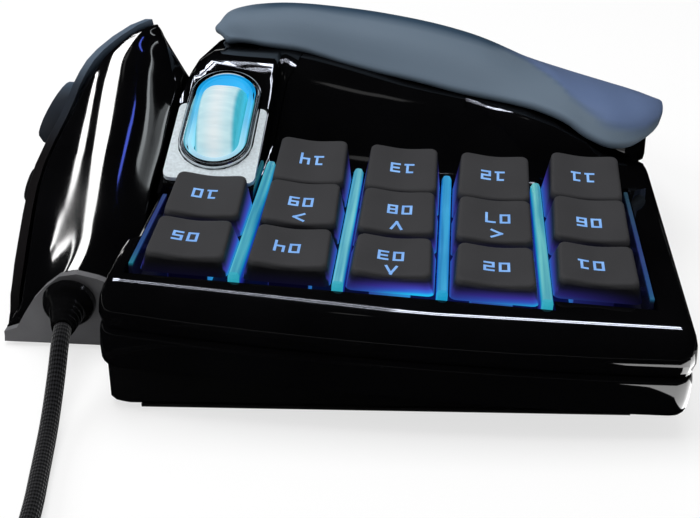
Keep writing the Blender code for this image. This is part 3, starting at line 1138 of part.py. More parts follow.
def build_thumb_controls(unit, shell, panel):
    """The direction pad on its gimbal, the thumb button and the hinged thumb bar."""
    pad = empty("direction_pad_pivot", wing_seat(PAD_SEAT_SHARES), None, unit)
    frame = axis_frame((0.0, 0.0, 0.0), PAD_AXIS)
    soft = finish("thumb pad rubber", (0.05, 0.06, 0.075), 0.7)

    def rounds(steps):
        return set_rings(frame, [(circle(radius, PAD_SIDES), height) for radius, height in steps])

    rim = ring_solid("pad rim", rounds(((PAD_RIM, -PAD_RIM_FOOT), (PAD_RIM, 0.0),
                                        (PAD_RIM - 0.5 * PAD_RIM_RISE, PAD_RIM_RISE))), None, pad)
    combine(panel, rim, "UNION")
    hole = ((PAD_HOLE, -PAD_RIM_FOOT - OVERRUN), (PAD_HOLE, 0.5 * PAD_RIM_RISE),
            (PAD_HOLE + 0.5 * PAD_RIM_RISE, PAD_RIM_RISE + 0.5 * PAD_RIM_RISE))
    combine(panel, ring_solid("pad hole", rounds(hole), None, pad), "DIFFERENCE")
    floor = -PAD_SINK - PAD_CAP - POCKET_DEPTH
    clear = PAD_RIM + FIT_GAP
    combine(shell, ring_solid("rim pocket", rounds(((clear, -PAD_RIM_FOOT - FIT_GAP), (clear, 3.0 * OVERRUN))), None, pad),
            "DIFFERENCE")
    combine(shell, ring_solid("pad pocket", rounds(((PAD_HOLE, -PAD_SINK - PAD_CAP - FIT_GAP * 6.0), (PAD_HOLE, OVERRUN))),
                              None, pad), "DIFFERENCE")
    gimbal_hole = GIMBAL_RADIUS + FIT_GAP
    combine(shell, ring_solid("gimbal pocket", rounds(((gimbal_hole, floor - GIMBAL_POCKET), (gimbal_hole, OVERRUN))),
                              None, pad), "DIFFERENCE")
    top = -PAD_SINK
    ring_solid("direction_pad", rounds((
        (0.35 * PAD_RADIUS, top + PAD_CROWN), (0.75 * PAD_RADIUS, top + 0.7 * PAD_CROWN), (PAD_RADIUS, top),
        (PAD_RADIUS, top - PAD_CAP), (PAD_STEM_RADIUS, top - PAD_CAP), (PAD_STEM_RADIUS, top - PAD_CAP - PAD_STEM_DEPTH))),
        soft, pad)
    ring_low = top - PAD_CAP - GIMBAL_DEPTH
    gimbal = ring_solid("pad_gimbal", rounds(((GIMBAL_RADIUS, ring_low), (GIMBAL_RADIUS, ring_low + GIMBAL_THICK))),
                        finish("acetal gimbal", (0.5, 0.5, 0.48), 0.5), pad)
    combine(gimbal, ring_solid("gimbal bore", rounds(((GIMBAL_BORE, ring_low - OVERRUN), (GIMBAL_BORE, 0.0))), None, pad),
            "DIFFERENCE")

    button = empty("thumb_button_seat", wing_seat(BUTTON_SEAT_SHARES), None, unit)
    ring_solid("thumb_button", rounds_on(BUTTON_AXIS, (
        (0.5 * BUTTON_RADIUS, BUTTON_PROUD), (0.9 * BUTTON_RADIUS, 0.8 * BUTTON_PROUD), (BUTTON_RADIUS, 0.3 * BUTTON_PROUD),
        (BUTTON_RADIUS, -BUTTON_DEPTH)), PAD_SIDES), finish("thumb button plastic", (0.02, 0.02, 0.022), 0.4), button)
    wide = BUTTON_RADIUS + BUTTON_CLEAR
    deep = -BUTTON_DEPTH - BUTTON_TRAVEL - FIT_GAP
    for piece in (panel, shell):
        combine(piece, ring_solid("button pocket", rounds_on(BUTTON_AXIS, ((wide, deep), (wide, OVERRUN)), PAD_SIDES), None,
                                  button), "DIFFERENCE")

    bar = empty("thumb_bar_seat", wing_seat(BAR_SEAT_SHARES), None, unit)
    bar_frame = axis_frame((0.0, 0.0, 0.0), BAR_AXIS)
    body = box_outline(BAR_HALF_WIDTH, BAR_HALF_LENGTH, BAR_CORNER)
    slim = box_outline(BAR_HALF_WIDTH - 0.4 * BAR_PROUD, BAR_HALF_LENGTH - 0.4 * BAR_PROUD, BAR_CORNER)
    bar_piece = ring_solid("thumb_bar", set_rings(bar_frame, [(body, -BAR_DEPTH), (body, 0.5 * BAR_PROUD), (slim, BAR_PROUD)]),
                           finish("thumb bar plastic", (0.02, 0.02, 0.022), 0.4), bar)
    pocket = box_outline(BAR_HALF_WIDTH + BUTTON_CLEAR, BAR_HALF_LENGTH + BUTTON_CLEAR, BAR_CORNER)
    for piece in (panel, shell):
        combine(piece, ring_solid("bar pocket", set_rings(bar_frame, [(pocket, -BAR_POCKET), (pocket, OVERRUN)]), None, bar),
                "DIFFERENCE")
    pin_frame = bar_frame @ axis_frame((0.0, BAR_HALF_LENGTH - BAR_PIN_INSET, -BAR_PIN_SINK), (1.0, 0.0, 0.0))
    pin = circle(BAR_PIN_RADIUS, AXLE_SIDES)
    wide_pin = circle(BAR_PIN_RADIUS + FIT_GAP, AXLE_SIDES)
    ring_solid("thumb_bar_pin", set_rings(pin_frame, [(pin, -BAR_PIN_HALF), (pin, BAR_PIN_HALF)]),
               finish("steel pin", (0.55, 0.55, 0.56), 0.3, 1.0), bar)
    reach = BAR_PIN_HALF + FIT_GAP
    for piece in (bar_piece, shell, panel):
        combine(piece, ring_solid("pin hole", set_rings(pin_frame, [(wide_pin, -reach), (wide_pin, reach)]), None, bar),
                "DIFFERENCE")


def rounds_on(axis, steps, sides):
    """Rings about an axis through the parent point, from (radius, height)."""
    return set_rings(axis_frame((0.0, 0.0, 0.0), axis), [(circle(radius, sides), height) for radius, height in steps])


def rest_grid():
    """The palm rest's upper surface, columns from the thumb side to the pinky side."""
    rows = []
    tall = HUMP_HEIGHT + REST_RISE
    for shares in (FRONT_SHARES, CREST_SHARES, BROW_SHARES, BACK_SHARES, REAR_SHARES):
        places = [(REST_X + a * REST_WIDTH, REST_Y + b * REST_LENGTH, c * tall) for a, b, c in shares]
        rows.append(smooth_path(places, REST_ACROSS_COUNT))
    rows = np.array(rows)
    return np.array([smooth_path(rows[:, k], REST_ALONG_COUNT) for k in range(REST_ACROSS_COUNT)])


def grid_normals(grid):
    """Unit normals of a grid of points, pointing up and out."""
    across = np.gradient(grid, axis=0)
    along = np.gradient(grid, axis=1)
    normal = np.cross(across, along)
    return normal / np.linalg.norm(normal, axis=2)[:, :, None]


def layer_solid(name, outer, inner, material, parent):
    """A closed layer between two grids of points."""
    columns, rows = outer.shape[:2]
    points = np.concatenate((outer.reshape(-1, 3), inner.reshape(-1, 3)))
    base = columns * rows
    faces = []
    for i in range(columns - 1):
        for j in range(rows - 1):
            a = i * rows + j
            b = a + rows
            faces.append((a, b, b + 1, a + 1))
            faces.append((base + a, base + a + 1, base + b + 1, base + b))
    edge = [(i, 0) for i in range(columns)] + [(columns - 1, j) for j in range(1, rows)]
    edge += [(i, rows - 1) for i in range(columns - 2, -1, -1)] + [(0, j) for j in range(rows - 2, 0, -1)]
    for k, (i, j) in enumerate(edge):
        p, q = edge[(k + 1) % len(edge)]
        a = i * rows + j
        b = p * rows + q
        faces.append((a, base + a, base + b, b))
    return solid(name, points, faces, material, parent)


def rail_rings(side, grow, extra):
    """One flat rail of the palm rest, in world places, level with the table."""
    x = side * RAIL_SIDE
    low = unit_place(x - 0.5 * RAIL_WIDTH - grow, FRAME_FRONT_Y - RAIL_REACH - grow - extra, RAIL_Z - grow)
    high = unit_place(x + 0.5 * RAIL_WIDTH + grow, FRAME_FRONT_Y + RAIL_SEAT + grow, RAIL_Z + RAIL_THICK + grow)
    return block(low, high)


def frame_ring(column):
    """A section of the palm rest's frame: under the pad, over the hump and down behind the casing."""
    x, y, z = column[:, 0], column[:, 1], column[:, 2]

    def at(v):
        return float(np.interp(v, y, x))

    front = min(FRAME_FRONT_Y, float(np.interp(slant_line(-FRAME_GAP), x + y, y)))
    rear = y[-1] - FRAME_INSET
    if rear < front + FRAME_TAIL:
        return None
    starts = np.linspace(y[0] + FRAME_INSET + FRAME_LIP, front - FRAME_LIP, FRAME_TRY_COUNT)
    room = [float(np.interp(v, y, z)) - hump_top(at(v), v) - FRAME_SHELF_GAP for v in starts]
    clear = [v for v, high in zip(starts, room) if high >= FRAME_LIP]
    start = clear[0] if clear else starts[-1]
    ring = [(at(v), v, float(np.interp(v, y, z))) for v in np.linspace(start, rear, REST_ALONG_COUNT)]
    tucked_rear = min(at(rear), FRAME_TUCK_X + FRAME_TUCK_SHARE * (at(rear) - FRAME_TUCK_X))
    tucked_front = min(at(front), FRAME_TUCK_X + FRAME_TUCK_SHARE * (at(front) - FRAME_TUCK_X))
    low_front = min(FRAME_FRONT_Y, max(front, slant_line(-FRAME_GAP) - tucked_front))
    ring += [(tucked_rear, rear, FRAME_FLOOR), (tucked_front, low_front, FRAME_FLOOR)]
    end = hump_end(at(front))
    shelf = [start]
    for target in (0.5 * (start + end), end + FIT_GAP, front):
        shelf.append(max(target, shelf[-1] + FIT_GAP))
    for v in reversed(shelf):
        level = hump_top(at(v), v) + FRAME_SHELF_GAP
        ring.append((at(v), v, min(level, float(np.interp(v, y, z)) - FRAME_LIP)))
    return ring


def build_palm_rest(unit):
    """The soft touch pad, the gloss frame below it, its two rails and its rubber feet."""
    grid = rest_grid()
    normals = grid_normals(grid)
    inner = grid - normals * REST_THICK
    inner[:, 0, 2] = grid[:, 0, 2]
    pad = layer_solid("palm_rest_pad", grid, inner,
                      finish("soft touch palm rest", (0.11, 0.15, 0.20), 0.6), unit)
    under = grid - normals * (REST_THICK + FRAME_PAD_GAP)
    under[:, 0, 2] = grid[:, 0, 2]
    rings = []
    for column in under[1:-1]:
        ring = frame_ring(column)
        if ring:
            rings.append(ring)
    frame = ring_solid("palm_rest_frame", rings, gloss_black("gloss black rest frame"), unit)
    sockets = ring_group("rail sockets", [rail_rings(side, FIT_GAP, 0.0) for side in (-1.0, 1.0)], None, None)
    combine(frame, sockets, "DIFFERENCE")
    nylon = finish("nylon rails", (0.03, 0.03, 0.03), 0.5)
    rubber = finish("black rubber pads", (0.015, 0.015, 0.015), 0.85)
    for name, side in (("left", -1.0), ("right", 1.0)):
        ring_solid(f"palm_rail_{name}", rail_rings(side, 0.0, 0.0), nylon, None)
        foot = circle(REST_FOOT_RADIUS, BOOT_SIDES, side * REST_FOOT_X, REST_FOOT_Y)
        ring_solid(f"palm_rest_foot_{name}", [at_height(foot, 0.0), at_height(foot, FOOT_THICK)], rubber, unit)
    return pad


def tube(name, points, sides_level, material, unit):
    """A round cord along the given places."""
    curve = bpy.data.curves.new(name, "CURVE")
    curve.dimensions = "3D"
    curve.bevel_depth = 0.5 * CORD_DIAMETER
    curve.bevel_resolution = sides_level
    curve.use_fill_caps = True
    run = curve.splines.new("POLY")
    run.points.add(len(points) - 1)
    for place, point in zip(points, run.points):
        point.co = (*place, 1.0)
    curve.materials.append(material)
    piece = bpy.data.objects.new(name, curve)
    bpy.context.scene.collection.objects.link(piece)
    piece.parent = unit
    return piece


def coil_points():
    """The put-away lead: turns that spiral in and out, a layer up in the half turn at each reversal."""
    pitch = CORD_DIAMETER + CORD_GAP
    spread = COIL_TURN_COUNT * pitch
    outer = COIL_MIDDLE_RADIUS + 0.5 * spread
    floor = 0.5 * CORD_DIAMETER + TIE_GAP + TIE_THICK + 0.5 * FIT_GAP
    layer_steps = COIL_TURN_COUNT * COIL_LOOP_POINT_COUNT
    climb = COIL_LOOP_POINT_COUNT // 2
    points = []
    for step in range(COIL_LAYER_COUNT * layer_steps + 1):
        layer, within = divmod(step, layer_steps)
        inward = within if layer % 2 == 0 else layer_steps - within
        radius = outer - spread * inward / layer_steps
        level = 0.0
        for reversal in range(1, COIL_LAYER_COUNT):
            share = (step - reversal * layer_steps) / climb + 0.5
            share = min(max(share, 0.0), 1.0)
            level += share * share * (3.0 - 2.0 * share)
        angle = math.pi + TURN * step / COIL_LOOP_POINT_COUNT
        points.append(Vector((COIL_X + radius * math.cos(angle), COIL_Y + radius * math.sin(angle), floor + level * pitch)))
    return points


def least_gap(points):
    """The least gap between parts of a tube that are more than half a turn apart."""
    places = np.array([tuple(p) for p in points])
    apart = COIL_LOOP_POINT_COUNT // 2
    least = math.inf
    for k in range(len(places) - apart):
        start = places[k + apart:-1]
        run = places[k + apart + 1:] - start
        if len(run) == 0:
            continue
        share = np.sum((places[k] - start) * run, axis=1) / np.sum(run * run, axis=1)
        nearest = start + np.clip(share, 0.0, 1.0)[:, None] * run
        least = min(least, float(np.min(np.linalg.norm(nearest - places[k], axis=1))))
    return least - CORD_DIAMETER


def build_lead(unit):
    """The strain relief, the free stretch, the wound coil with its tie, and the USB plug."""
    braid = finish("braided nylon lead", (0.02, 0.02, 0.022), 0.8)
    plate_front = WING_Y + WING_STATION_SHARES[0][0] * WING_LENGTH - END_PLATE_MARGIN - END_PLATE_THICK
    high = boot_height()
    mouth_place = Vector((BOOT_X, plate_front, high))
    tip = Vector((BOOT_X + BOOT_SWAY, plate_front - BOOT_LENGTH, high - BOOT_DROP))
    root = Vector((BOOT_X, plate_front + END_PLATE_THICK + FIT_GAP, high))
    axis = (tip - mouth_place).normalized()
    root_frame = axis_frame(root, (0.0, -1.0, 0.0), (0.0, 0.0, 1.0))
    plate_frame = axis_frame(mouth_place, (0.0, -1.0, 0.0), (0.0, 0.0, 1.0))
    tip_frame = axis_frame(tip, axis, (0.0, 0.0, 1.0))
    rings = set_rings(root_frame, [(circle(BOOT_BASE_RADIUS, BOOT_SIDES), -BOOT_DROP), (circle(BOOT_BASE_RADIUS, BOOT_SIDES), 0.0)])
    rings += set_rings(plate_frame, [(circle(BOOT_BASE_RADIUS, BOOT_SIDES), BOOT_DROP)])
    rings += set_rings(tip_frame, [(circle(0.5 * (BOOT_BASE_RADIUS + BOOT_TIP_RADIUS), BOOT_SIDES), -0.5 * BOOT_LENGTH),
                                   (circle(BOOT_TIP_RADIUS, BOOT_SIDES), 0.0)])
    ring_solid("strain_relief", rings, finish("black rubber boot", (0.012, 0.012, 0.012), 0.55), unit)

    coil = coil_points()
    first = coil[0]
    entry = Vector((0.0, -1.0, 0.0))
    lead_in = first - entry * (CORD_DIAMETER + FIT_GAP)
    coil_start = first - entry * CORD_DIAMETER
    begin = tip + axis * FIT_GAP
    straight = begin + axis * CORD_DIAMETER
    route = [begin, straight] + [Vector(p) for p in CORD_ROUTE] + [lead_in - entry * CORD_DIAMETER, lead_in]
    length = sum((route[k + 1] - route[k]).length for k in range(len(route) - 1))
    count = int(length / CORD_POINT_STEP) + 1
    tube("cable", [begin] + [Vector(p) for p in smooth_path(route[1:], count)], CORD_BEVEL_STEPS, braid, unit)

    last = coil[-1]
    leave = (coil[-1] - coil[-2]).normalized()
    flat = Vector((leave.x, leave.y, 0.0)).normalized()
    rest = 0.5 * PLUG_BODY_HEIGHT
    plug_start = Vector((last.x, last.y, rest)) + flat * TAIL_LENGTH
    middle = last.lerp(plug_start, 0.5) + Vector((0.0, 0.0, 0.12 * (last.z - rest)))
    tail_route = [last, last + flat * CORD_DIAMETER, middle, plug_start - flat * CORD_DIAMETER, plug_start]
    tail = [Vector(p) for p in smooth_path(tail_route, COIL_TURN_COUNT * 3)]
    wound = [coil_start] + coil + tail[1:]
    tube("cable_coil", wound, COIL_BEVEL_STEPS, braid, unit)
    print("coil: least gap to itself", round(least_gap(wound) / mm, 2), "mm")
    laid = sum((wound[k + 1] - wound[k]).length for k in range(len(wound) - 1))
    print("lead: free stretch", round(length, 3), "m, coil and tail", round(laid, 3), "m")

    pitch = CORD_DIAMETER + CORD_GAP
    half_band = 0.5 * (COIL_TURN_COUNT * pitch + CORD_DIAMETER) + TIE_GAP
    stack = (COIL_LAYER_COUNT - 1) * pitch + CORD_DIAMETER
    tie_middle = (COIL_X + COIL_MIDDLE_RADIUS, COIL_Y, 0.5 * FIT_GAP + TIE_THICK + TIE_GAP + 0.5 * stack)
    tie_frame = axis_frame(tie_middle, (0.0, 1.0, 0.0), (0.0, 0.0, 1.0))
    inner = box_outline(half_band, 0.5 * stack + TIE_GAP, pitch * 0.5)
    outer = box_outline(half_band + TIE_THICK, 0.5 * stack + TIE_GAP + TIE_THICK, pitch * 0.7)
    tie = ring_solid("coil_tie", set_rings(tie_frame, [(outer, -0.5 * TIE_WIDTH), (outer, 0.5 * TIE_WIDTH)]),
                     finish("hook and loop tie", (0.015, 0.015, 0.015), 0.9), unit)
    combine(tie, ring_solid("tie bore", set_rings(tie_frame, [(inner, -TIE_WIDTH), (inner, TIE_WIDTH)]), None, unit),
            "DIFFERENCE")

    plug_frame = axis_frame(plug_start + flat * FIT_GAP, flat, (0.0, 0.0, 1.0))
    body = box_outline(0.5 * PLUG_BODY_WIDTH, 0.5 * PLUG_BODY_HEIGHT, PLUG_CORNER)
    neck = box_outline(0.5 * PLUG_BODY_HEIGHT, 0.42 * PLUG_BODY_HEIGHT, PLUG_CORNER)
    small = box_outline(0.5 * CORD_DIAMETER + TIE_THICK, 0.5 * CORD_DIAMETER + TIE_THICK, PLUG_CORNER)
    end = PLUG_BOOT_LENGTH + PLUG_BODY_LENGTH
    ring_solid("usb_plug_body", set_rings(plug_frame, [(small, 0.0), (neck, PLUG_BOOT_LENGTH),
                                                       (body, PLUG_BOOT_LENGTH + PLUG_CORNER), (body, end)]),
               finish("black plug moulding", (0.012, 0.012, 0.012), 0.45), unit)
    shell = box_outline(0.5 * PLUG_SHELL_WIDTH, 0.5 * PLUG_SHELL_HEIGHT, PLUG_SHELL_WALL)
    mouth = box_outline(0.5 * PLUG_SHELL_WIDTH - PLUG_SHELL_WALL, 0.5 * PLUG_SHELL_HEIGHT - PLUG_SHELL_WALL,
                        0.5 * PLUG_SHELL_WALL)
    start = end + FIT_GAP
    metal = ring_solid("usb_connector", set_rings(plug_frame, [(shell, start), (shell, start + PLUG_SHELL_LENGTH)]),
                       finish("nickel plug shell", (0.60, 0.59, 0.57), 0.2, 1.0), unit)
    inside = ring_solid("mouth", set_rings(plug_frame, [(mouth, start + PLUG_TONGUE), (mouth, start + PLUG_SHELL_LENGTH + OVERRUN)]),
                        None, unit)
    combine(metal, inside, "DIFFERENCE")


def main():
    """Build every piece of the keypad."""
    clear_scene()
    unit = empty("unit_plan", (KEY_EDGE_X, KEY_EDGE_Y, 0.0))
    deck = empty("deck_plane", (0.0, 0.0, KEY_EDGE_Z), Matrix.Rotation(DECK_ROLL, 4, "Y"), unit)
    build_keys(deck)
    light_guide(deck)
    build_inside(deck)
    build_upper_casing(deck, unit)
    build_lower_casing(deck)
    build_wheel(deck)
    build_base(unit)
    shell, panel = build_wing(unit)
    build_thumb_controls(unit, shell, panel)
    build_palm_rest(unit)
    build_lead(unit)


main()
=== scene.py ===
"""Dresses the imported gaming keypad: its braided lead, keys and legends, gloss shells, thumb wing,
palm rest, lights and studio. Lengths are in metres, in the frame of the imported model.
"""
import json
import math

import bmesh
import bpy
import numpy as np
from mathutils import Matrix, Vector

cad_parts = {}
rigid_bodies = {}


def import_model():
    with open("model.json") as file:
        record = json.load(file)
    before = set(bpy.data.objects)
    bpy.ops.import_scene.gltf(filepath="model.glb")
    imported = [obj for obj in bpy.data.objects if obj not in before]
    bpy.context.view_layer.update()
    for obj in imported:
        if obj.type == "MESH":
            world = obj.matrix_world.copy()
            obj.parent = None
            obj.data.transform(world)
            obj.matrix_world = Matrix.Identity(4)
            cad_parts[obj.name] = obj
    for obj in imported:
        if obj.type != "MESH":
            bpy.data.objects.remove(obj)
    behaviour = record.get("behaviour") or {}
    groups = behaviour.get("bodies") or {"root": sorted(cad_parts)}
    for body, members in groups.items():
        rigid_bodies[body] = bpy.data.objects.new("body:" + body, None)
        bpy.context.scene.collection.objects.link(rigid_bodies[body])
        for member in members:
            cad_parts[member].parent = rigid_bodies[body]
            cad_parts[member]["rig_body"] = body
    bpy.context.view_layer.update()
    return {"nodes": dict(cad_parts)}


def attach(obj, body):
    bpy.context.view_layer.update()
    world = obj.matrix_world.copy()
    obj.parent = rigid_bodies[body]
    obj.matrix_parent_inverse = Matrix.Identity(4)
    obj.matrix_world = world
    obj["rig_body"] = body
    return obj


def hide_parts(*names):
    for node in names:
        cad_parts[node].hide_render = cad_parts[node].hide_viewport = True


bl_info = {
    "name": "Gaming Keypad",
    "version": (1, 0, 0),
    "blender": (4, 5, 0),
    "location": "3D View > Sidebar > Keypad",
    "description": "Dresses a packed gaming keypad with fourteen keys, a thumb wing and a palm rest",
    "category": "Add Mesh",
}

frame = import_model()

MM = 0.001
TURN = 2.0 * math.pi
ORIGIN = (0.0, 0.0, 0.0)
X_WAY = (1.0, 0.0, 0.0)
Y_WAY = (0.0, 1.0, 0.0)

# The colour sockets of a Mix node, which share their names with its other sockets
MIX_A, MIX_B, MIX_OUT = 6, 7, 2

# The frame of the keys: the front edge of the middle key, and the roll of the deck
PLAN = np.array((14.5, -80.3, 0.0)) * MM
EDGE_HEIGHT = 32.0 * MM
DECK_ROLL = math.radians(3.04)

# Keys: pitch, foot, top, walls and stem
KEY_PITCH = 22.0 * MM
ROW_PITCH = 19.2 * MM
KEY_FOOT = (18.8 * MM, 18.5 * MM)
KEY_TOP_WIDTH = 16.9 * MM
KEY_NARROWING = 16.2 / 16.9
KEY_CORNER = 1.6 * MM
KEY_WALL = 1.3 * MM
KEY_DISH = 0.6 * MM
KEY_SKIRT = -4.3 * MM
KEY_FLARE = 1.3 * MM
KEY_CEILING = -3.1 * MM
STEM_HALF = 4.5 * MM
STEM_CORNER = 1.2 * MM
STEM_FOOT = -12.3 * MM
# Columns run from the thumb side, rows from the front
COLUMN_SHIFTS = (0.4 * MM, 0.3 * MM, 0.0, -0.4 * MM, 4.2 * MM)
ROW_LEVELS = (0.0, 0.5 * MM, 2.0 * MM)
ROW_DEPTHS = (14.8 * MM, 16.2 * MM, 16.2 * MM)
ROW_TILTS = (0.105, 0.17, 0.264)
KEY_NUMBERS = ((5, 10), (4, 9, 14), (3, 8, 13), (2, 7, 12), (1, 6, 11))
# Places on each round corner of a keycap's ring, and between one corner and the next
KEY_SPACING = (6, 9)
# The rings of the top, as shares of its depth that they lie in from its edge, and those down the wall
KEY_INSETS = (0.45, 0.38, 0.31, 0.24, 0.17, 0.10, 0.05)
KEY_WALL_SHARES = (0.2, 0.4, 0.6, 0.8, 0.94)

# How much painted light the walls of each column catch from below, from the thumb side, and how it leans
# across a front wall. It starts a little below the top's edge and turns through its colours down the wall,
# while painted shade takes the coat's grey down to near black in the first eighth
FRONT_LIGHT = ((0.03, 0.04, 0.9, 0.75, 0.22), (0.45, 0.05, 0.5, 0.6, 0.3))
FRONT_LEAN = (0.0, 0.3, 1.1, 0.6, -1.8)
LEFT_LIGHT = (0.55, 0.6, 0.65, 0.7, 0.75)
RIGHT_LIGHT = (0.9, 0.75, 0.8, 0.6, 0.05)
REAR_LIGHT = 0.1
FRONT_REACH = 0.6 * MM
LIGHT_START = 1.2 * MM
WALL_SHADE_FADE = 8.0
WALL_SHADE_LOSS = 0.94
LIGHT_STOPS = (0.0, 0.22, 0.55, 0.82, 1.0)
LIGHT_COLOURS = ("#000000", "#141430", "#3a329a", "#2f5cc8", "#1caee0")

# Legends: strokes of each square figure on a cell one wide and one high, read from the wrist's side, and how
# far each lies from its key's middle in mm
FIGURES = {
    "0": ((0, 0, 1, 0), (1, 0, 1, 1), (1, 1, 0, 1), (0, 1, 0, 0)),
    "1": ((0.1, 1, 0.72, 1), (0.72, 1, 0.72, 0), (0, 0, 1, 0)),
    "2": ((0, 1, 1, 1), (1, 1, 1, 0.5), (1, 0.5, 0, 0.5), (0, 0.5, 0, 0), (0, 0, 1, 0)),
    "3": ((0, 1, 1, 1), (1, 1, 1, 0), (0.1, 0.5, 1, 0.5), (0, 0, 1, 0)),
    "4": ((0, 1, 0, 0.35), (0, 0.35, 1, 0.35), (1, 1, 1, -0.25)),
    "5": ((1, 1, 0, 1), (0, 1, 0, 0.5), (0, 0.5, 1, 0.5), (1, 0.5, 1, 0), (1, 0, 0, 0)),
    "6": ((1, 1, 0, 1), (0, 1, 0, 0), (0, 0, 1, 0), (1, 0, 1, 0.5), (1, 0.5, 0, 0.5)),
    "7": ((0, 1, 1, 1), (1, 1, 1, -0.15)),
    "8": ((0, 0, 1, 0), (1, 0, 1, 1), (1, 1, 0, 1), (0, 1, 0, 0), (0, 0.5, 1, 0.5)),
    "9": ((0, 0, 1, 0), (1, 0, 1, 1), (1, 1, 0, 1), (0, 1, 0, 0.5), (0, 0.5, 1, 0.5)),
}
FIGURE_SIZE = (1.85 * MM, 2.85 * MM)
FIGURE_PACE = 3.35 * MM
ARROW_SIZE = (2.2 * MM, 2.6 * MM)
FIGURE_LIFT = 0.035 * MM
FIGURE_SINK = -0.12 * MM
ARROWS = {
    7: ((1, 1, 0, 0.5), (0, 0.5, 1, 0)),
    9: ((0, 1, 1, 0.5), (1, 0.5, 0, 0)),
    8: ((0, 1, 0.5, 0), (0.5, 0, 1, 1)),
    3: ((0, 0, 0.5, 1), (0.5, 1, 1, 0)),
}
LEGEND_PLACES = {
    1: (-1.41, 6.60), 2: (0.21, 6.75), 3: (-0.46, 7.15), 4: (-0.85, 6.56), 5: (-1.22, 7.55),
    6: (-0.46, 6.60), 7: (0.68, 8.60), 8: (0.38, 8.61), 9: (-0.29, 8.20), 10: (-0.60, 8.17),
    11: (-0.68, 7.65), 12: (-0.41, 8.35), 13: (-0.08, 8.12), 14: (0.06, 8.14)}
ARROW_PLACES = {7: (0.45, 2.9), 8: (0.0, 2.5), 9: (-0.1, 2.3), 3: (-0.1, 1.9)}

# Slope of the wheel plate, and the slot, ring and wheel on it
DECK_START = np.array((PLAN[0], PLAN[1], EDGE_HEIGHT))
DECK_UP = (math.sin(DECK_ROLL), 0.0, math.cos(DECK_ROLL))
SLOPE = math.radians(23.0)
SLOPE_START = (33.4 * MM, -1.5 * MM)
RING_CENTRE = (-45.8 * MM, 25.0 * MM)
RING_HALF_WIDTH = 8.9 * MM
RING_HALF_LENGTH = 17.0 * MM
RING_MIDDLE = DECK_START + (-45.6 * MM, 56.4 * MM, 10.7 * MM)
RING_RUN = (0.0, math.cos(SLOPE), math.sin(SLOPE))
WHEEL_WIDTH = 9.8 * MM
WHEEL_RADIUS = 13.0 * MM
WHEEL_SINK = 6.6 * MM
WHEEL_RIBS = 24
WHEEL_CROWN = 1.5 * MM
WHEEL_GROOVE = 0.3 * MM

# Rings round the wheel's slot: inset and height of their sections, in mm
CHROME_PROFILE = (
    (0.0, -2.0), (0.0, 0.5), (0.08, 0.95), (0.3, 1.3), (0.52, 1.1), (0.62, 0.7), (0.74, 0.66), (0.84, 1.0),
    (1.0, 1.36), (1.2, 1.5), (1.5, 1.3), (1.78, 0.7), (1.9, 0.0), (1.9, -2.0))
LIT_INSET = RING_HALF_WIDTH / MM - 6.7
LIT_PROFILE = tuple((LIT_INSET + inset, height) for inset, height in (
    (0.0, -3.4), (0.0, 0.55), (0.15, 0.8), (0.5, 0.9), (0.85, 0.8), (1.0, 0.5), (1.0, -3.4)))

# Thumb wing: its box, and the shares of it that make its sections
WING_START = np.array((-96.0, 15.5, 0.0)) * MM
WING_SIZE = np.array((38.0, 96.5, 60.0)) * MM
PANEL_THICK = 2.2 * MM
PANEL_CLEAR = 1.0 * MM
PANEL_RISE = 0.9 * MM
WING_FLOOR = 1.1 * MM
WING_FOOT_HEIGHT = 5.7 * MM
# Places up the thumb side of a section, and the sections over which the set-in for the panel grows
WING_SIDE_PLACES = 12
WING_FRONT_ROWS = 4
# The wing's even shading: where it ends and how long it fades, as shares of the wing's length, and how many
# rows its bell curve spans
CALM_END = 0.56
CALM_FADE = 0.05
CALM_ROWS = 12
# How far back, down and inwards each of the rings that round the rear end goes, in mm
WING_REAR = ((1.2, 0.5, 0.432), (2.4, 1.8, 1.08), (3.6, 4.0, 1.8))
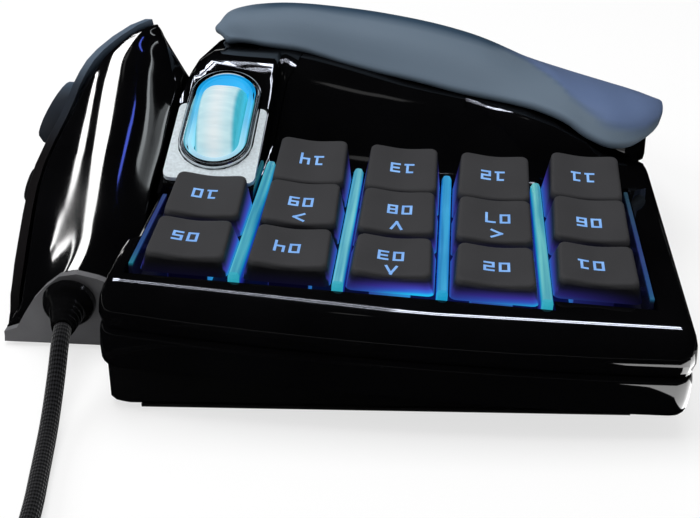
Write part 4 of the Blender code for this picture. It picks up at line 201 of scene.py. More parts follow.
# y, then x and z of the shell's edge, brow, nose, shoulder, root and middle of the thumb side, x of its foot,
# and the lip's share, which only sets how close together the sections lie
WING_SHARES = np.array((
    (0.024, 0.113, 0.067, 0.342, 0.225, 0.553, 0.330, 0.763, 0.308, 0.950, 0.250, 0.111, 0.033, 0.108, 0.00),
    (0.057, 0.142, 0.217, 0.342, 0.317, 0.553, 0.373, 0.776, 0.353, 0.950, 0.308, 0.116, 0.117, 0.092, 0.00),
    (0.088, 0.163, 0.307, 0.342, 0.373, 0.553, 0.412, 0.776, 0.393, 0.950, 0.350, 0.111, 0.183, 0.079, 0.00),
    (0.140, 0.166, 0.397, 0.350, 0.453, 0.553, 0.480, 0.789, 0.457, 0.950, 0.408, 0.097, 0.233, 0.063, 0.08),
    (0.202, 0.168, 0.482, 0.355, 0.530, 0.566, 0.553, 0.789, 0.533, 0.950, 0.475, 0.084, 0.283, 0.047, 0.12),
    (0.264, 0.176, 0.555, 0.361, 0.607, 0.571, 0.627, 0.789, 0.607, 0.963, 0.543, 0.074, 0.333, 0.037, 0.17),
    (0.337, 0.226, 0.643, 0.384, 0.692, 0.579, 0.713, 0.789, 0.693, 0.984, 0.617, 0.071, 0.383, 0.026, 0.21),
    (0.399, 0.295, 0.728, 0.421, 0.770, 0.592, 0.790, 0.789, 0.767, 0.989, 0.683, 0.082, 0.433, 0.018, 0.33),
    (0.461, 0.361, 0.827, 0.474, 0.853, 0.605, 0.860, 0.789, 0.833, 0.992, 0.733, 0.097, 0.483, 0.013, 0.62),
    (0.544, 0.479, 0.905, 0.579, 0.935, 0.658, 0.940, 0.800, 0.910, 0.995, 0.772, 0.132, 0.550, 0.013, 1.00),
    (0.596, 0.621, 0.960, 0.705, 0.982, 0.742, 0.987, 0.832, 0.957, 0.997, 0.783, 0.174, 0.583, 0.018, 1.00),
    (0.627, 0.724, 0.983, 0.800, 0.998, 0.816, 0.995, 0.863, 0.950, 0.997, 0.783, 0.200, 0.590, 0.026, 1.00),
    (0.720, 0.658, 0.867, 0.737, 0.885, 0.763, 0.882, 0.832, 0.850, 0.989, 0.708, 0.221, 0.533, 0.039, 0.62),
    (0.876, 0.605, 0.677, 0.684, 0.690, 0.711, 0.687, 0.789, 0.660, 0.955, 0.550, 0.237, 0.400, 0.079, 0.25),
    (1.000, 0.553, 0.483, 0.632, 0.497, 0.658, 0.493, 0.747, 0.460, 0.950, 0.383, 0.250, 0.267, 0.132, 0.17)))

# Palm rest: its box, and the shares of it that make five lines from the thumb side to the pinky side
REST_START = np.array((-56.0, 66.0, 0.0)) * MM
REST_SIZE = np.array((124.0, 107.0, 60.0)) * MM
REST_THICK = 2.6 * MM
REST_GRID = (97, 49)
# Where the crease between the lip and the top runs, as rows of the palm rest's grid at its columns
CREASE_COLUMNS = (0, 30, 56, 60, 64, 68, 72, 76, 80, 84, 88, 92, 96)
CREASE_ROWS = (7, 8, 8, 9, 9, 7, 4.5, 4.0, 3.2, 2.6, 2.2, 3.4, 5.0)
REST_LINES = (
    ((0.052, 0.243, 0.863), (0.145, 0.224, 0.847), (0.210, 0.224, 0.832), (0.302, 0.206, 0.788),
     (0.394, 0.178, 0.760), (0.474, 0.150, 0.745), (0.565, 0.121, 0.720), (0.634, 0.103, 0.708),
     (0.734, 0.065, 0.692), (0.801, 0.028, 0.645), (0.840, 0.006, 0.595), (0.885, 0.000, 0.577),
     (0.926, 0.028, 0.577), (0.955, 0.075, 0.577), (0.976, 0.131, 0.585)),
    ((0.030, 0.262, 0.880), (0.060, 0.275, 0.925), (0.120, 0.299, 0.955), (0.219, 0.299, 0.960),
     (0.310, 0.290, 0.946), (0.402, 0.271, 0.933), (0.521, 0.243, 0.900), (0.610, 0.215, 0.855),
     (0.707, 0.187, 0.785), (0.777, 0.112, 0.735), (0.848, 0.037, 0.655), (0.885, 0.024, 0.633),
     (0.926, 0.047, 0.633), (0.964, 0.093, 0.648), (0.989, 0.168, 0.642)),
    ((0.012, 0.374, 0.830), (0.032, 0.430, 0.870), (0.113, 0.467, 0.885), (0.218, 0.467, 0.888),
     (0.403, 0.439, 0.862), (0.565, 0.411, 0.815), (0.722, 0.364, 0.728), (0.883, 0.290, 0.675),
     (0.931, 0.257, 0.664), (0.968, 0.234, 0.652), (0.992, 0.215, 0.642)),
    ((0.016, 0.542, 0.632), (0.036, 0.636, 0.623), (0.105, 0.692, 0.608), (0.210, 0.710, 0.585),
     (0.403, 0.701, 0.540), (0.565, 0.682, 0.490), (0.726, 0.636, 0.450), (0.839, 0.570, 0.410),
     (0.927, 0.477, 0.420), (0.964, 0.411, 0.454), (0.989, 0.336, 0.510)),
    ((0.044, 0.766, 0.467), (0.073, 0.869, 0.333), (0.129, 0.944, 0.233), (0.218, 0.981, 0.200),
     (0.403, 1.000, 0.192), (0.565, 0.991, 0.192), (0.718, 0.935, 0.208), (0.827, 0.832, 0.275),
     (0.907, 0.682, 0.260), (0.944, 0.589, 0.330), (0.976, 0.477, 0.400)))

# Lead: where it leaves the boot, the free stretch, the coil and the plug
LEAD_DIAMETER = 4.0 * MM
BOOT_MOUTH = np.array((-75.2, 15.616, 13.4)) * MM
BOOT_TIP = np.array((-73.6, 4.616, 12.0)) * MM
FREE_ROUTE = np.array((
    (-72.6, -3.0, 9.6), (-71.9, -9.4, 6.3), (-70.4, -20.4, 3.0), (-68.4, -33.1, 2.1),
    (-66.2, -46.2, 2.1), (-64.8, -60.0, 2.1), (-64.8, -76.0, 2.1))) * MM
COIL_CENTRE = np.array((-36.0, -102.0)) * MM
COIL_MIDDLE_RADIUS = 23.0 * MM
COIL_GAP = 0.55 * MM
COIL_LAYERS = 4
COIL_TURNS = 3
COIL_LOOP_POINTS = 24
TAIL_LENGTH = 26.0 * MM
TIE_THICK = 0.9 * MM
TIE_GAP = 0.5 * MM
PLUG_HEIGHT = 7.6 * MM
FIT_GAP = 0.3 * MM
LEAD_SIDES = 16
BRAID_PITCH = 2.2 * MM
BRAID_ROUNDS = 10.0

# Boot: how far its foot reaches into the end plate, its radius in mm at shares of its length, and its ribs
BOOT_REACH = 2.3 * MM
BOOT_SIDES = 28
BOOT_SHARES = (0.0, 0.17, 0.2, 0.24, 0.38, 0.46, 1.0)
BOOT_RADII = (4.65, 4.65, 5.6, 6.2, 5.8, 4.3, 2.65)
BOOT_RIB = 0.2 * MM
BOOT_RIBS_FROM = 0.46
BOOT_RIB_RATE = 9.0

# Tie: the section of its strap in mm, as how far out of the loop and how far along the lead
TIE_SECTION = (
    (0.0, -2.9), (0.15, -3.0), (0.75, -3.0), (0.9, -2.8), (0.9, 2.8), (0.75, 3.0), (0.15, 3.0), (0.0, 2.9))

# Camera, as solved from the photograph
CAMERA_PLACE = np.array((25.571, -317.206, 160.096)) * MM
CAMERA_TURN = -0.083
CAMERA_DIP = 0.485
CAMERA_LENS = 66.14

# Cards that gloss mirrors. Each row has the x and y in metres of a place on the card's one edge and on its
# other; those over the wing bend and fan out, so that their strips run straight down its curved shell
CARD_HEIGHT = 1.035
NARROW_EDGES = (
    (-1.24, 0.756, -0.75, 0.265), (-0.586, 0.021, -0.462, -0.021), (-0.526, -0.067, -0.434, -0.085),
    (-0.533, -0.116, -0.431, -0.127), (-0.541, -0.162, -0.444, -0.164), (-0.609, -0.203, -0.505, -0.202),
    (-0.713, -0.256, -0.60, -0.242), (-0.848, -0.321, -0.705, -0.283), (-1.031, -0.399, -0.87, -0.327),
    (-1.266, -0.484, -1.04, -0.36), (-1.7, -0.60, -1.3, -0.44))
WIDE_EDGES = (
    (-0.36, 0.35, -0.13, 0.35), (-0.34, 0.055, -0.10, 0.03), (-0.321, -0.039, -0.085, -0.04),
    (-0.321, -0.086, -0.107, -0.075), (-0.321, -0.124, -0.113, -0.112), (-0.322, -0.158, -0.123, -0.147),
    (-0.34, -0.188, -0.133, -0.178), (-0.385, -0.22, -0.164, -0.212), (-0.44, -0.249, -0.185, -0.245),
    (-0.505, -0.275, -0.235, -0.273), (-0.56, -0.29, -0.233, -0.308), (-0.62, -0.34, -0.2, -0.373))
BLUE_EDGES = (
    (0.278, -0.005, 0.305, -0.005), (0.252, -0.035, 0.298, -0.03), (0.238, -0.055, 0.29, -0.05),
    (0.216, -0.076, 0.272, -0.07), (0.200, -0.094, 0.26, -0.09), (0.196, -0.11, 0.258, -0.105),
    (0.192, -0.128, 0.252, -0.122), (0.194, -0.141, 0.244, -0.138), (0.189, -0.157, 0.236, -0.155),
    (0.177, -0.177, 0.22, -0.175), (0.165, -0.193, 0.198, -0.192), (0.164, -0.208, 0.18, -0.208))
SILVER_EDGES = (
    (0.98, 0.72, 0.90, 0.72), (0.86, 0.45, 0.78, 0.45), (0.755, 0.24, 0.69, 0.24), (0.695, 0.12, 0.635, 0.12),
    (0.645, 0.03, 0.59, 0.03), (0.60, -0.06, 0.545, -0.06))
HAZE_EDGES = (
    (1.06, 0.72, 0.98, 0.72), (0.94, 0.45, 0.86, 0.45), (0.81, 0.24, 0.755, 0.24), (0.735, 0.12, 0.695, 0.12),
    (0.685, 0.03, 0.645, 0.03), (0.635, -0.06, 0.60, -0.06))
RING_EDGES = ((-0.35, 0.9, 0.05, 0.9), (-0.35, 0.15, 0.05, 0.15))
BAR_NEAR_EDGES = ((-0.62, 0.52, 0.55, 0.52), (-0.62, 0.45, 0.55, 0.45))
BAR_FAR_EDGES = ((-0.62, 0.68, 0.55, 0.68), (-0.62, 0.58, 0.55, 0.58))

# The opening in the black velvet on the floor, which the deck's right corner mirrors, and the card in it
VELVET_REACH = (-0.6, 0.9)
OPENING_LEFT = 0.0825
OPENING_DEPTH = (-0.15, -0.05)
CORNER_EDGES = ((OPENING_LEFT, -0.075, 0.2, -0.075), (OPENING_LEFT, -0.15, 0.2, -0.15))

# How bright the strip lights are, then each card: name, edges, height, colour, strength as a share of the
# strip lights, and the pieces that mirror it
STRIP_STRENGTH = 42.0
WING = ("wing_shell_gloss",)
CASINGS = ("upper_casing_gloss", "lower_casing_gloss")
CARDS = (
    ("card_narrow", NARROW_EDGES, CARD_HEIGHT, "#ffffff", 1.0, WING),
    ("card_wide", WIDE_EDGES, CARD_HEIGHT, "#ffffff", 1.0, WING),
    ("card_blue", BLUE_EDGES, CARD_HEIGHT, "#3f4fb0", 1.1, WING),
    ("card_silver", SILVER_EDGES, CARD_HEIGHT, "#dfe6ea", 0.25, WING),
    ("card_haze", HAZE_EDGES, CARD_HEIGHT, "#dfe6ea", 0.07, WING),
    ("card_ring", RING_EDGES, CARD_HEIGHT, "#dfe8f0", 0.9 / STRIP_STRENGTH, ("wheel_ring_chrome",)),
    ("bar_near", BAR_NEAR_EDGES, CARD_HEIGHT, "#e8eeff", 1.0, CASINGS),
    ("bar_far", BAR_FAR_EDGES, CARD_HEIGHT, "#e8eeff", 1.0, CASINGS),
    ("card_corner", CORNER_EDGES, 0.4 * MM, "#ffffff", 8.0 / STRIP_STRENGTH, CASINGS))


def linear(text):
    """An sRGB colour written in hex, as linear red, green and blue."""
    values = [int(text[k:k + 2], 16) / 255.0 for k in (1, 3, 5)]
    return tuple(v / 12.92 if v <= 0.04045 else ((v + 0.055) / 1.055) ** 2.4 for v in values)


class KeypadSizes(bpy.types.PropertyGroup):
    """Sizes that a user would change."""

    lead_length: bpy.props.FloatProperty(
        name="Lead length", description="Real length of the lead from its boot to the plug",
        default=1.87, unit="LENGTH")
    edge_round: bpy.props.FloatProperty(
        name="Key edge round", description="Radius of the round along the edge of a key top",
        default=0.7 * MM, unit="LENGTH")
    legend_stroke: bpy.props.FloatProperty(
        name="Legend stroke", description="Width of the lines of a figure on a key",
        default=0.6 * MM, unit="LENGTH")
    shell_bevel: bpy.props.FloatProperty(
        name="Shell edge", description="Round along the edges of the moulded shells",
        default=0.35 * MM, unit="LENGTH")


class KeypadColours(bpy.types.PropertyGroup):
    """Colours that a user would change."""

    shell: bpy.props.FloatVectorProperty(
        name="Shell", description="Gloss shells", subtype="COLOR", size=3, default=linear("#060607"))
    keycap: bpy.props.FloatVectorProperty(
        name="Keycap", description="Matte keycaps", subtype="COLOR", size=3, default=linear("#3a3a3c"))
    # Painted light and shade on one blue-grey coat: sheen on the lip, shade on the top, light on the lobe
    rest_lip_sheen: bpy.props.FloatVectorProperty(
        name="Palm rest lip", description="Soft touch coat along the palm rest's lip",
        subtype="COLOR", size=3, default=linear("#61707f"))
    rest_top_shade: bpy.props.FloatVectorProperty(
        name="Palm rest top", description="Soft touch coat past the palm rest's crease",
        subtype="COLOR", size=3, default=linear("#33475a"))
    rest_lobe_light: bpy.props.FloatVectorProperty(
        name="Palm rest lobe", description="Soft touch coat on the lobe under the little finger",
        subtype="COLOR", size=3, default=linear("#5b6d90"))


class KeypadStudio(bpy.types.PropertyGroup):
    """Studio settings."""

    ambient: bpy.props.FloatProperty(
        name="Ambient light", description="Strength of the plain light from all round",
        default=0.34, min=0.0)
    softbox: bpy.props.FloatProperty(
        name="Softbox", description="Power of the light overhead", default=6.3, min=0.0, unit="POWER")
    strip: bpy.props.FloatProperty(
        name="Strip lights", description="How bright the strips are that gloss shells mirror",
        default=STRIP_STRENGTH, min=0.0)


def add(tree, kind, attributes=None, inputs=None):
    """A node with its settings; an input given as a socket is linked, any other is set."""
    made = tree.nodes.new(kind)
    for name, value in (attributes or {}).items():
        setattr(made, name, value)
    for name, value in (inputs or {}).items():
        socket = made.inputs[name]
        if isinstance(value, bpy.types.NodeSocket):
            tree.links.new(value, socket)
        else:
            socket.default_value = value
    return made


def begin(name, **settings):
    """A new Principled material, its tree and its shader, with constants set on the shader's own sockets."""
    material = bpy.data.materials.new(name)
    material.use_nodes = True
    tree = material.node_tree
    shader = tree.nodes["Principled BSDF"]
    for socket, value in settings.items():
        shader.inputs[socket.replace("_", " ")].default_value = value
    return material, tree, shader


def blend_colours(tree, share, low, high):
    """Two colours mixed by a share."""
    ramp = add(tree, "ShaderNodeValToRGB", None, {"Fac": share})
    ramp.color_ramp.elements[0].color = (*low, 1.0)
    ramp.color_ramp.elements[1].color = (*high, 1.0)
    ramp.color_ramp.elements[0].position = 0.3
    ramp.color_ramp.elements[1].position = 0.7
    return ramp.outputs["Color"]


def shade(colour, factor):
    """A colour made lighter or darker."""
    return tuple(min(max(c * factor, 0.0), 1.0) for c in colour)


def wear(tree, shader, spread, rough, grain, relief):
    """How a surface is worn: one pattern spreads its roughness between two values, another is its relief."""
    gloss = add(tree, "ShaderNodeMapRange", None, {
        "Value": spread.outputs["Fac"], "From Min": 0.3, "From Max": 0.7,
        "To Min": rough[0], "To Max": rough[1]})
    tree.links.new(gloss.outputs["Result"], shader.inputs["Roughness"])
    bump = add(tree, "ShaderNodeBump", None, {
        "Height": grain.outputs["Fac"], "Distance": relief, "Strength": 1.0})
    tree.links.new(bump.outputs["Normal"], shader.inputs["Normal"])


def moulded(name, colour, rough, grain, relief, cloud, vary=0.12, **settings):
    """A moulded or coated plastic: a fine grain of a given size gives relief, clouds of a given size vary
    its gloss and its colour, as handling does. rough is a pair, sizes are in metres. Without a colour, the
    caller links its own."""
    material, tree, shader = begin(name, **settings)
    place = add(tree, "ShaderNodeTexCoord").outputs["Object"]
    fine = add(tree, "ShaderNodeTexNoise", None, {"Vector": place, "Scale": 1.0 / grain, "Detail": 2.0})
    wide = add(tree, "ShaderNodeTexNoise", None, {"Vector": place, "Scale": 1.0 / cloud, "Detail": 4.0})
    if colour:
        low, high = shade(colour, 1.0 - vary), shade(colour, 1.0 + vary)
        tree.links.new(blend_colours(tree, wide.outputs["Fac"], low, high), shader.inputs["Base Color"])
    wear(tree, shader, wide, rough, fine, relief)
    return material


def metal(name, low, high, rough, lines, relief):
    """A metal: lines gives how far the marks run along x, y and z in metres, longest along the brushing."""
    material, tree, shader = begin(name, Metallic=1.0)
    place = add(tree, "ShaderNodeTexCoord").outputs["Object"]
    stretch = add(tree, "ShaderNodeMapping", None, {"Vector": place, "Scale": tuple(1.0 / v for v in lines)})
    marks = add(tree, "ShaderNodeTexNoise", None, {
        "Vector": stretch.outputs["Vector"], "Scale": 1.0, "Detail": 3.0})
    tree.links.new(blend_colours(tree, marks.outputs["Fac"], low, high), shader.inputs["Base Color"])
    wear(tree, shader, marks, rough, marks, relief)
    return material


def distance_along(tree, origin, way):
    """How far a place lies from an origin along a way, in metres."""
    place = add(tree, "ShaderNodeTexCoord").outputs["Object"]
    arm = add(tree, "ShaderNodeVectorMath", {"operation": "SUBTRACT"}, {0: place, 1: tuple(origin)})
    reach = add(tree, "ShaderNodeVectorMath", {"operation": "DOT_PRODUCT"}, {
        0: arm.outputs["Vector"], 1: tuple(way)})
    return reach.outputs["Value"]


def in_mm(*stops):
    """Stops of a ramp, written in millimetres, as metres."""
    return [(level * MM, colour) for level, colour in stops]


def ramp(tree, value, stops):
    """Colours at given values, in metres, mixed smoothly between them."""
    low, high = stops[0][0], stops[-1][0]
    share = add(tree, "ShaderNodeMapRange", None, {"Value": value, "From Min": low, "From Max": high})
    made = add(tree, "ShaderNodeValToRGB", None, {"Fac": share.outputs["Result"]})
    made.color_ramp.interpolation = "EASE"
    bands = made.color_ramp.elements
    while len(bands) < len(stops):
        bands.new(0.5)
    for band, (level, colour) in zip(bands, stops):
        band.position = (level - low) / (high - low)
        band.color = (*linear(colour), 1.0)
    return made.outputs["Color"]


def lit(name, origin, way, stops, strength, patch, rough=0.25, tints=None, low=(0.72, 0.78, 0.86)):
    """Clear or frosted acrylic lit from below: its light runs through colours along a way, is clouded over
    patches of a given size along x, y and z, and is tinted across, where tints are given."""
    material, tree, shader = begin(name, Roughness=rough, Emission_Strength=strength)
    place = add(tree, "ShaderNodeTexCoord").outputs["Object"]
    stretch = add(tree, "ShaderNodeMapping", None, {"Vector": place, "Scale": tuple(1.0 / v for v in patch)})
    cloud = add(tree, "ShaderNodeTexNoise", None, {
        "Vector": stretch.outputs["Vector"], "Scale": 1.0, "Detail": 1.0})
    veil = blend_colours(tree, cloud.outputs["Fac"], low, (1.0, 1.0, 1.0))
    colour = ramp(tree, distance_along(tree, origin, way), stops)
    layers = [veil]
    if tints:
        layers.append(ramp(tree, distance_along(tree, ORIGIN, X_WAY), tints))
    for layer in layers:
        colour = add(tree, "ShaderNodeMix", {"data_type": "RGBA", "blend_type": "MULTIPLY"}, {
            "Factor": 1.0, MIX_A: colour, MIX_B: layer}).outputs[MIX_OUT]
    tree.links.new(colour, shader.inputs["Emission Color"])
    dark = add(tree, "ShaderNodeMix", {"data_type": "RGBA"}, {
        "Factor": 0.9, MIX_A: colour, MIX_B: (0.02, 0.02, 0.03, 1.0)})
    tree.links.new(dark.outputs[MIX_OUT], shader.inputs["Base Color"])
    return material


def guide_light(name):
    """Clear acrylic that carries light between the keys: a pale crest, a painted highlight over the glow,
    over cyan shoulders, with streaks about 1 mm wide along each bar. The outer bars show a thin violet line,
    teal in front;
    the front bar glows in its middle."""
    # Painted highlight: the glow turns pale along each bar's crest
    glow_and_crest_highlight = in_mm(
        (-9.0, "#0c0c30"), (-6.0, "#33309a"), (-4.4, "#2a62d8"), (-3.2, "#18b4dc"), (-2.3, "#8adce6"))
    bars_of_light = in_mm((-41.5, "#b4e8ea"), (-19.0, "#b4e8ea"), (4.0, "#e8f6f4"), (26.0, "#70c8f8"),
                          (48.0, "#d6f0e6"), (70.0, "#d6f0e6"))
    streak = (1.1 * MM, 30.0 * MM, 6.0 * MM)
    material = lit(name, DECK_START, DECK_UP, glow_and_crest_highlight, 0.78, streak, tints=bars_of_light, low=(0.22, 0.5, 0.7))
    tree = material.node_tree
    shader = tree.nodes["Principled BSDF"]
    across = distance_along(tree, ORIGIN, X_WAY)
    deep = distance_along(tree, ORIGIN, Y_WAY)
    line = ramp(tree, deep, in_mm(
        (-84.0, "#18909c"), (-72.0, "#22468c"), (-58.0, "#2c2c80"), (-22.0, "#1c3440")))
    crest = ramp(tree, distance_along(tree, DECK_START, DECK_UP), in_mm((-4.0, "#000000"), (-2.6, "#ffffff")))
    outer = add(tree, "ShaderNodeMix", {"data_type": "RGBA", "blend_type": "MULTIPLY"}, {
        "Factor": 1.0, MIX_A: line, MIX_B: crest}).outputs[MIX_OUT]
    front = ramp(tree, across, in_mm(
        (-40.0, "#04060a"), (-21.2, "#04060a"), (-20.4, "#2fb0c4"), (-17.4, "#2fb0c4"), (-16.6, "#04060a"),
        (0.8, "#04060a"), (1.6, "#2fb0c4"), (4.8, "#2fb0c4"), (5.6, "#2a2fa0"), (14.0, "#3a48c0"),
        (23.0, "#18a8d8"), (49.0, "#2fb4c8"), (50.0, "#2a2a6a"), (68.0, "#0c1c20")))
    at_front = ramp(tree, deep, in_mm((-82.1, "#ffffff"), (-81.7, "#000000")))
    at_sides = ramp(tree, across, in_mm(
        (-40.2, "#ffffff"), (-39.9, "#000000"), (68.4, "#000000"), (68.7, "#ffffff")))
    colour = shader.inputs["Emission Color"].links[0].from_socket
    for share, layer in ((at_front, front), (at_sides, outer)):
        colour = add(tree, "ShaderNodeMix", {"data_type": "RGBA"}, {
            "Factor": share, MIX_A: colour, MIX_B: layer}).outputs[MIX_OUT]
    tree.links.new(colour, shader.inputs["Emission Color"])
    return material


def wheel_light(name):
    """Frosted polycarbonate wheel, lit from inside: milky, with the lit ring's cyan light painted on its two
    rims.
    """
    # Painted light: the lit ring's cyan falls on the wheel's two rims
    rims = in_mm((-4.9, "#3fb4c8"), (-3.7, "#c2e4ea"), (0.0, "#dfeaec"), (3.7, "#c2e4ea"), (4.9, "#3fb4c8"))
    streak = (9.0 * MM, 1.6 * MM, 1.6 * MM)
    return lit(name, RING_MIDDLE, X_WAY, rims, 0.92, streak, 0.4, low=(0.82, 0.87, 0.9))


def plate_light(name):
    """Frosted plate under the keys: it catches the light as violet blue, most below the middle keys."""
    tints = in_mm(
        (-41.0, "#08080c"), (0.0, "#404468"), (20.0, "#c8e0ff"), (45.0, "#b0b4ff"), (71.0, "#303040"))
    levels = in_mm((-13.0, "#101040"), (-4.0, "#2c2c8a"))
    return lit(name, DECK_START, DECK_UP, levels, 0.35, (14.0 * MM,) * 3, 0.5, tints=tints)


def ring_light(name):
    """Clear acrylic ring about the wheel: pale at its front end, turning cyan towards the wrist."""
    stops = in_mm(
        (-18.0, "#c4dde6"), (-9.0, "#9ad8ec"), (4.0, "#62c8ee"), (11.0, "#12b0ee"), (18.0, "#0aa2ea"))
    return lit(name, RING_MIDDLE, RING_RUN, stops, 1.0, (10.0 * MM,) * 3)


def figure_light(name):
    """Clear plastic of the figures through the keycap's coat, lit from below."""
    stops = in_mm((-100.0, "#80b2f0"), (0.0, "#88bbf6"))
    return lit(name, ORIGIN, Y_WAY, stops, 0.95, (3.0 * MM,) * 3, 0.6)


def braided(name):
    """Braided nylon sleeve: twenty strands cross at the braid's pitch, each rising where it lies on top.
    The pattern is the product of two sines that climb the cord in opposite senses, read from its own map."""
    material, tree, shader = begin(name, Roughness=0.62, Sheen_Weight=0.25, Sheen_Roughness=0.4)
    split = add(tree, "ShaderNodeSeparateXYZ", None, {
        "Vector": add(tree, "ShaderNodeUVMap", {"uv_map": "Strands"}).outputs["UV"]})
    waves = []
    for sense in ("ADD", "SUBTRACT"):
        climb = add(tree, "ShaderNodeMath", {"operation": sense}, {
            0: split.outputs["X"], 1: split.outputs["Y"]})
        turn = add(tree, "ShaderNodeMath", {"operation": "MULTIPLY"}, {0: climb.outputs[0], 1: TURN})
        waves.append(add(tree, "ShaderNodeMath", {"operation": "SINE"}, {0: turn.outputs[0]}).outputs[0])
    weave = add(tree, "ShaderNodeMath", {"operation": "MULTIPLY"}, {0: waves[0], 1: waves[1]})
    share = add(tree, "ShaderNodeMapRange", None, {
        "Value": weave.outputs[0], "From Min": -1.0, "From Max": 1.0})
    colour = blend_colours(tree, share.outputs["Result"], linear("#050506"), linear("#232326"))
    tree.links.new(colour, shader.inputs["Base Color"])
    bump = add(tree, "ShaderNodeBump", None, {
        "Height": share.outputs["Result"], "Distance": 0.25 * MM, "Strength": 0.8})
    tree.links.new(bump.outputs["Normal"], shader.inputs["Normal"])
    return material


def gloss_coat(name):
    """High-gloss black ABS from a polished tool: a near mirror whose skin waves by a few microns, with faint
    haze."""
    colour = tuple(bpy.context.scene.keypad_colours.shell)
    return moulded(name, colour, (0.035, 0.075), 6.0 * MM, 0.002 * MM, 22.0 * MM, 0.25, IOR=1.38)


def key_coat(name):
    """Matte coat over a spark-eroded surface of 0.35 mm grain on top; on the walls painted shade turns the
    coat near black, and a painted glow stands for the light that they catch from below."""
    colour = tuple(bpy.context.scene.keypad_colours.keycap)
    material = moulded(name, colour, (0.56, 0.66), 0.35 * MM, 0.012 * MM, 9.0 * MM, 0.05,
                       Emission_Strength=1.0, Specular_IOR_Level=0.3)
    tree = material.node_tree
    caught = add(tree, "ShaderNodeAttribute", {"attribute_name": "Light"})
    shader = tree.nodes["Principled BSDF"]
    tree.links.new(caught.outputs["Color"], shader.inputs["Emission Color"])
    coat = shader.inputs["Base Color"].links[0].from_socket
    # Painted shade: where the Light attribute's alpha falls, down the walls, the coat's grey gives way to
    # near black
    base = add(tree, "ShaderNodeMix", {"data_type": "RGBA"}, {
        "Factor": caught.outputs["Alpha"], MIX_A: (*linear("#070709"), 1.0), MIX_B: coat})
    tree.links.new(base.outputs[MIX_OUT], shader.inputs["Base Color"])
    return material


def rest_coat(name):
    """Soft touch polyurethane paint over ABS, velvety under a grain of 0.4 mm and duller where hands rest.
    Its tone is painted light and shade on the mesh: painted shade makes it slate on top, a painted sheen
    makes it paler along the lip and painted light makes it bluer on the lobe."""
    material = moulded(name, None, (0.44, 0.58), 0.4 * MM, 0.015 * MM, 30.0 * MM, Specular_IOR_Level=0.35)
    tree = material.node_tree
    tone = add(tree, "ShaderNodeAttribute", {"attribute_name": "PaintedShading"})
    tree.links.new(tone.outputs["Color"], tree.nodes["Principled BSDF"].inputs["Base Color"])
    return material


def panel_coat(name):
    """The same paint on the thumb panel: its blue grey turns dark over 14 mm ahead of the pad, over a fine
    grain of 0.4 mm."""
    material = moulded(name, None, (0.34, 0.46), 0.4 * MM, 0.015 * MM, 30.0 * MM)
    tree = material.node_tree
    tone = ramp(tree, distance_along(tree, ORIGIN, Y_WAY), in_mm(
        (-36.0, "#151314"), (-24.0, "#262b33"), (-14.0, "#505f70"), (30.0, "#586a7e")))
    tree.links.new(tone, tree.nodes["Principled BSDF"].inputs["Base Color"])
    return material


def circuit(name):
    """Glass epoxy under green solder mask: copper tracks 0.5 mm wide show lighter, on a 2.5 mm grid."""
    material, tree, shader = begin(name, Roughness=0.35)
    place = add(tree, "ShaderNodeTexCoord").outputs["Object"]
    tracks = add(tree, "ShaderNodeTexBrick", None, {
        "Vector": place, "Scale": 1.0, "Mortar Size": 0.25 * MM, "Brick Width": 7.5 * MM,
        "Row Height": 2.5 * MM, "Color1": (*linear("#0c4a2a"), 1.0), "Color2": (*linear("#0f5632"), 1.0),
        "Mortar": (*linear("#3f9a5c"), 1.0)})
    tree.links.new(tracks.outputs["Color"], shader.inputs["Base Color"])
    bump = add(tree, "ShaderNodeBump", None, {
        "Height": tracks.outputs["Fac"], "Distance": 0.04 * MM, "Strength": 1.0})
    tree.links.new(bump.outputs["Normal"], shader.inputs["Normal"])
    return material


# Moulded finishes: colour, roughness, then grain, relief and cloud in mm, how far clouds vary the colour,
# and the shader's other settings
MOULDINGS = {
    # Black ABS with a lower polish, under the unit
    "satin_black_abs": ("#0b0b0c", (0.16, 0.28), 0.8, 0.01, 18.0, 0.12, {"IOR": 1.4}),
    # Dark grey ABS with a light spark texture
    "dark_grey_abs": ("#666669", (0.45, 0.60), 0.3, 0.02, 12.0, 0.12, {}),
    # Matte black ABS of the thumb controls
    "matte_black_abs": ("#1a1a1c", (0.38, 0.50), 0.3, 0.015, 8.0, 0.12, {}),
    # Rubber of the thumb pad: the panel's blue grey, duller
    "pad_rubber": ("#5c6b7c", (0.55, 0.70), 0.25, 0.02, 6.0, 0.1, {}),
    # Moulded rubber: dull black with a fine open grain
    "moulded_rubber": ("#161617", (0.75, 0.90), 0.25, 0.03, 6.0, 0.2, {}),
    # Black PVC of the plug, slightly waxy, and of the boot, from a polished tool
    "black_pvc": ("#101011", (0.32, 0.46), 0.4, 0.012, 7.0, 0.2, {}),
    "gloss_pvc": ("#0a0a0b", (0.14, 0.24), 0.4, 0.006, 7.0, 0.2, {}),
    # Black acetal and natural grey acetal: waxy, with drawn marks
    "black_acetal": ("#1d1d1e", (0.42, 0.55), 0.5, 0.012, 10.0, 0.12, {}),
    "grey_acetal": ("#9a9a96", (0.40, 0.52), 0.5, 0.012, 10.0, 0.06, {}),
    # Translucent silicone of the dome sheet
    "silicone_sheet": ("#b4b4ae", (0.45, 0.6), 0.6, 0.01, 8.0, 0.05, {"Subsurface_Weight": 0.2}),
    # Hook and loop tape: dull black pile
    "hook_and_loop": ("#121214", (0.85, 0.95), 0.5, 0.15, 4.0, 0.3, {"Sheen_Weight": 0.4}),
    # Satin silver lacquer over ABS: flakes give a pale bluish grey with a fine sparkle, marks about 0.4 mm
    "silver_lacquer": ("#d6e1e7", (0.30, 0.42), 0.4, 0.02, 0.7, 0.12, {"Metallic": 0.2}),
}

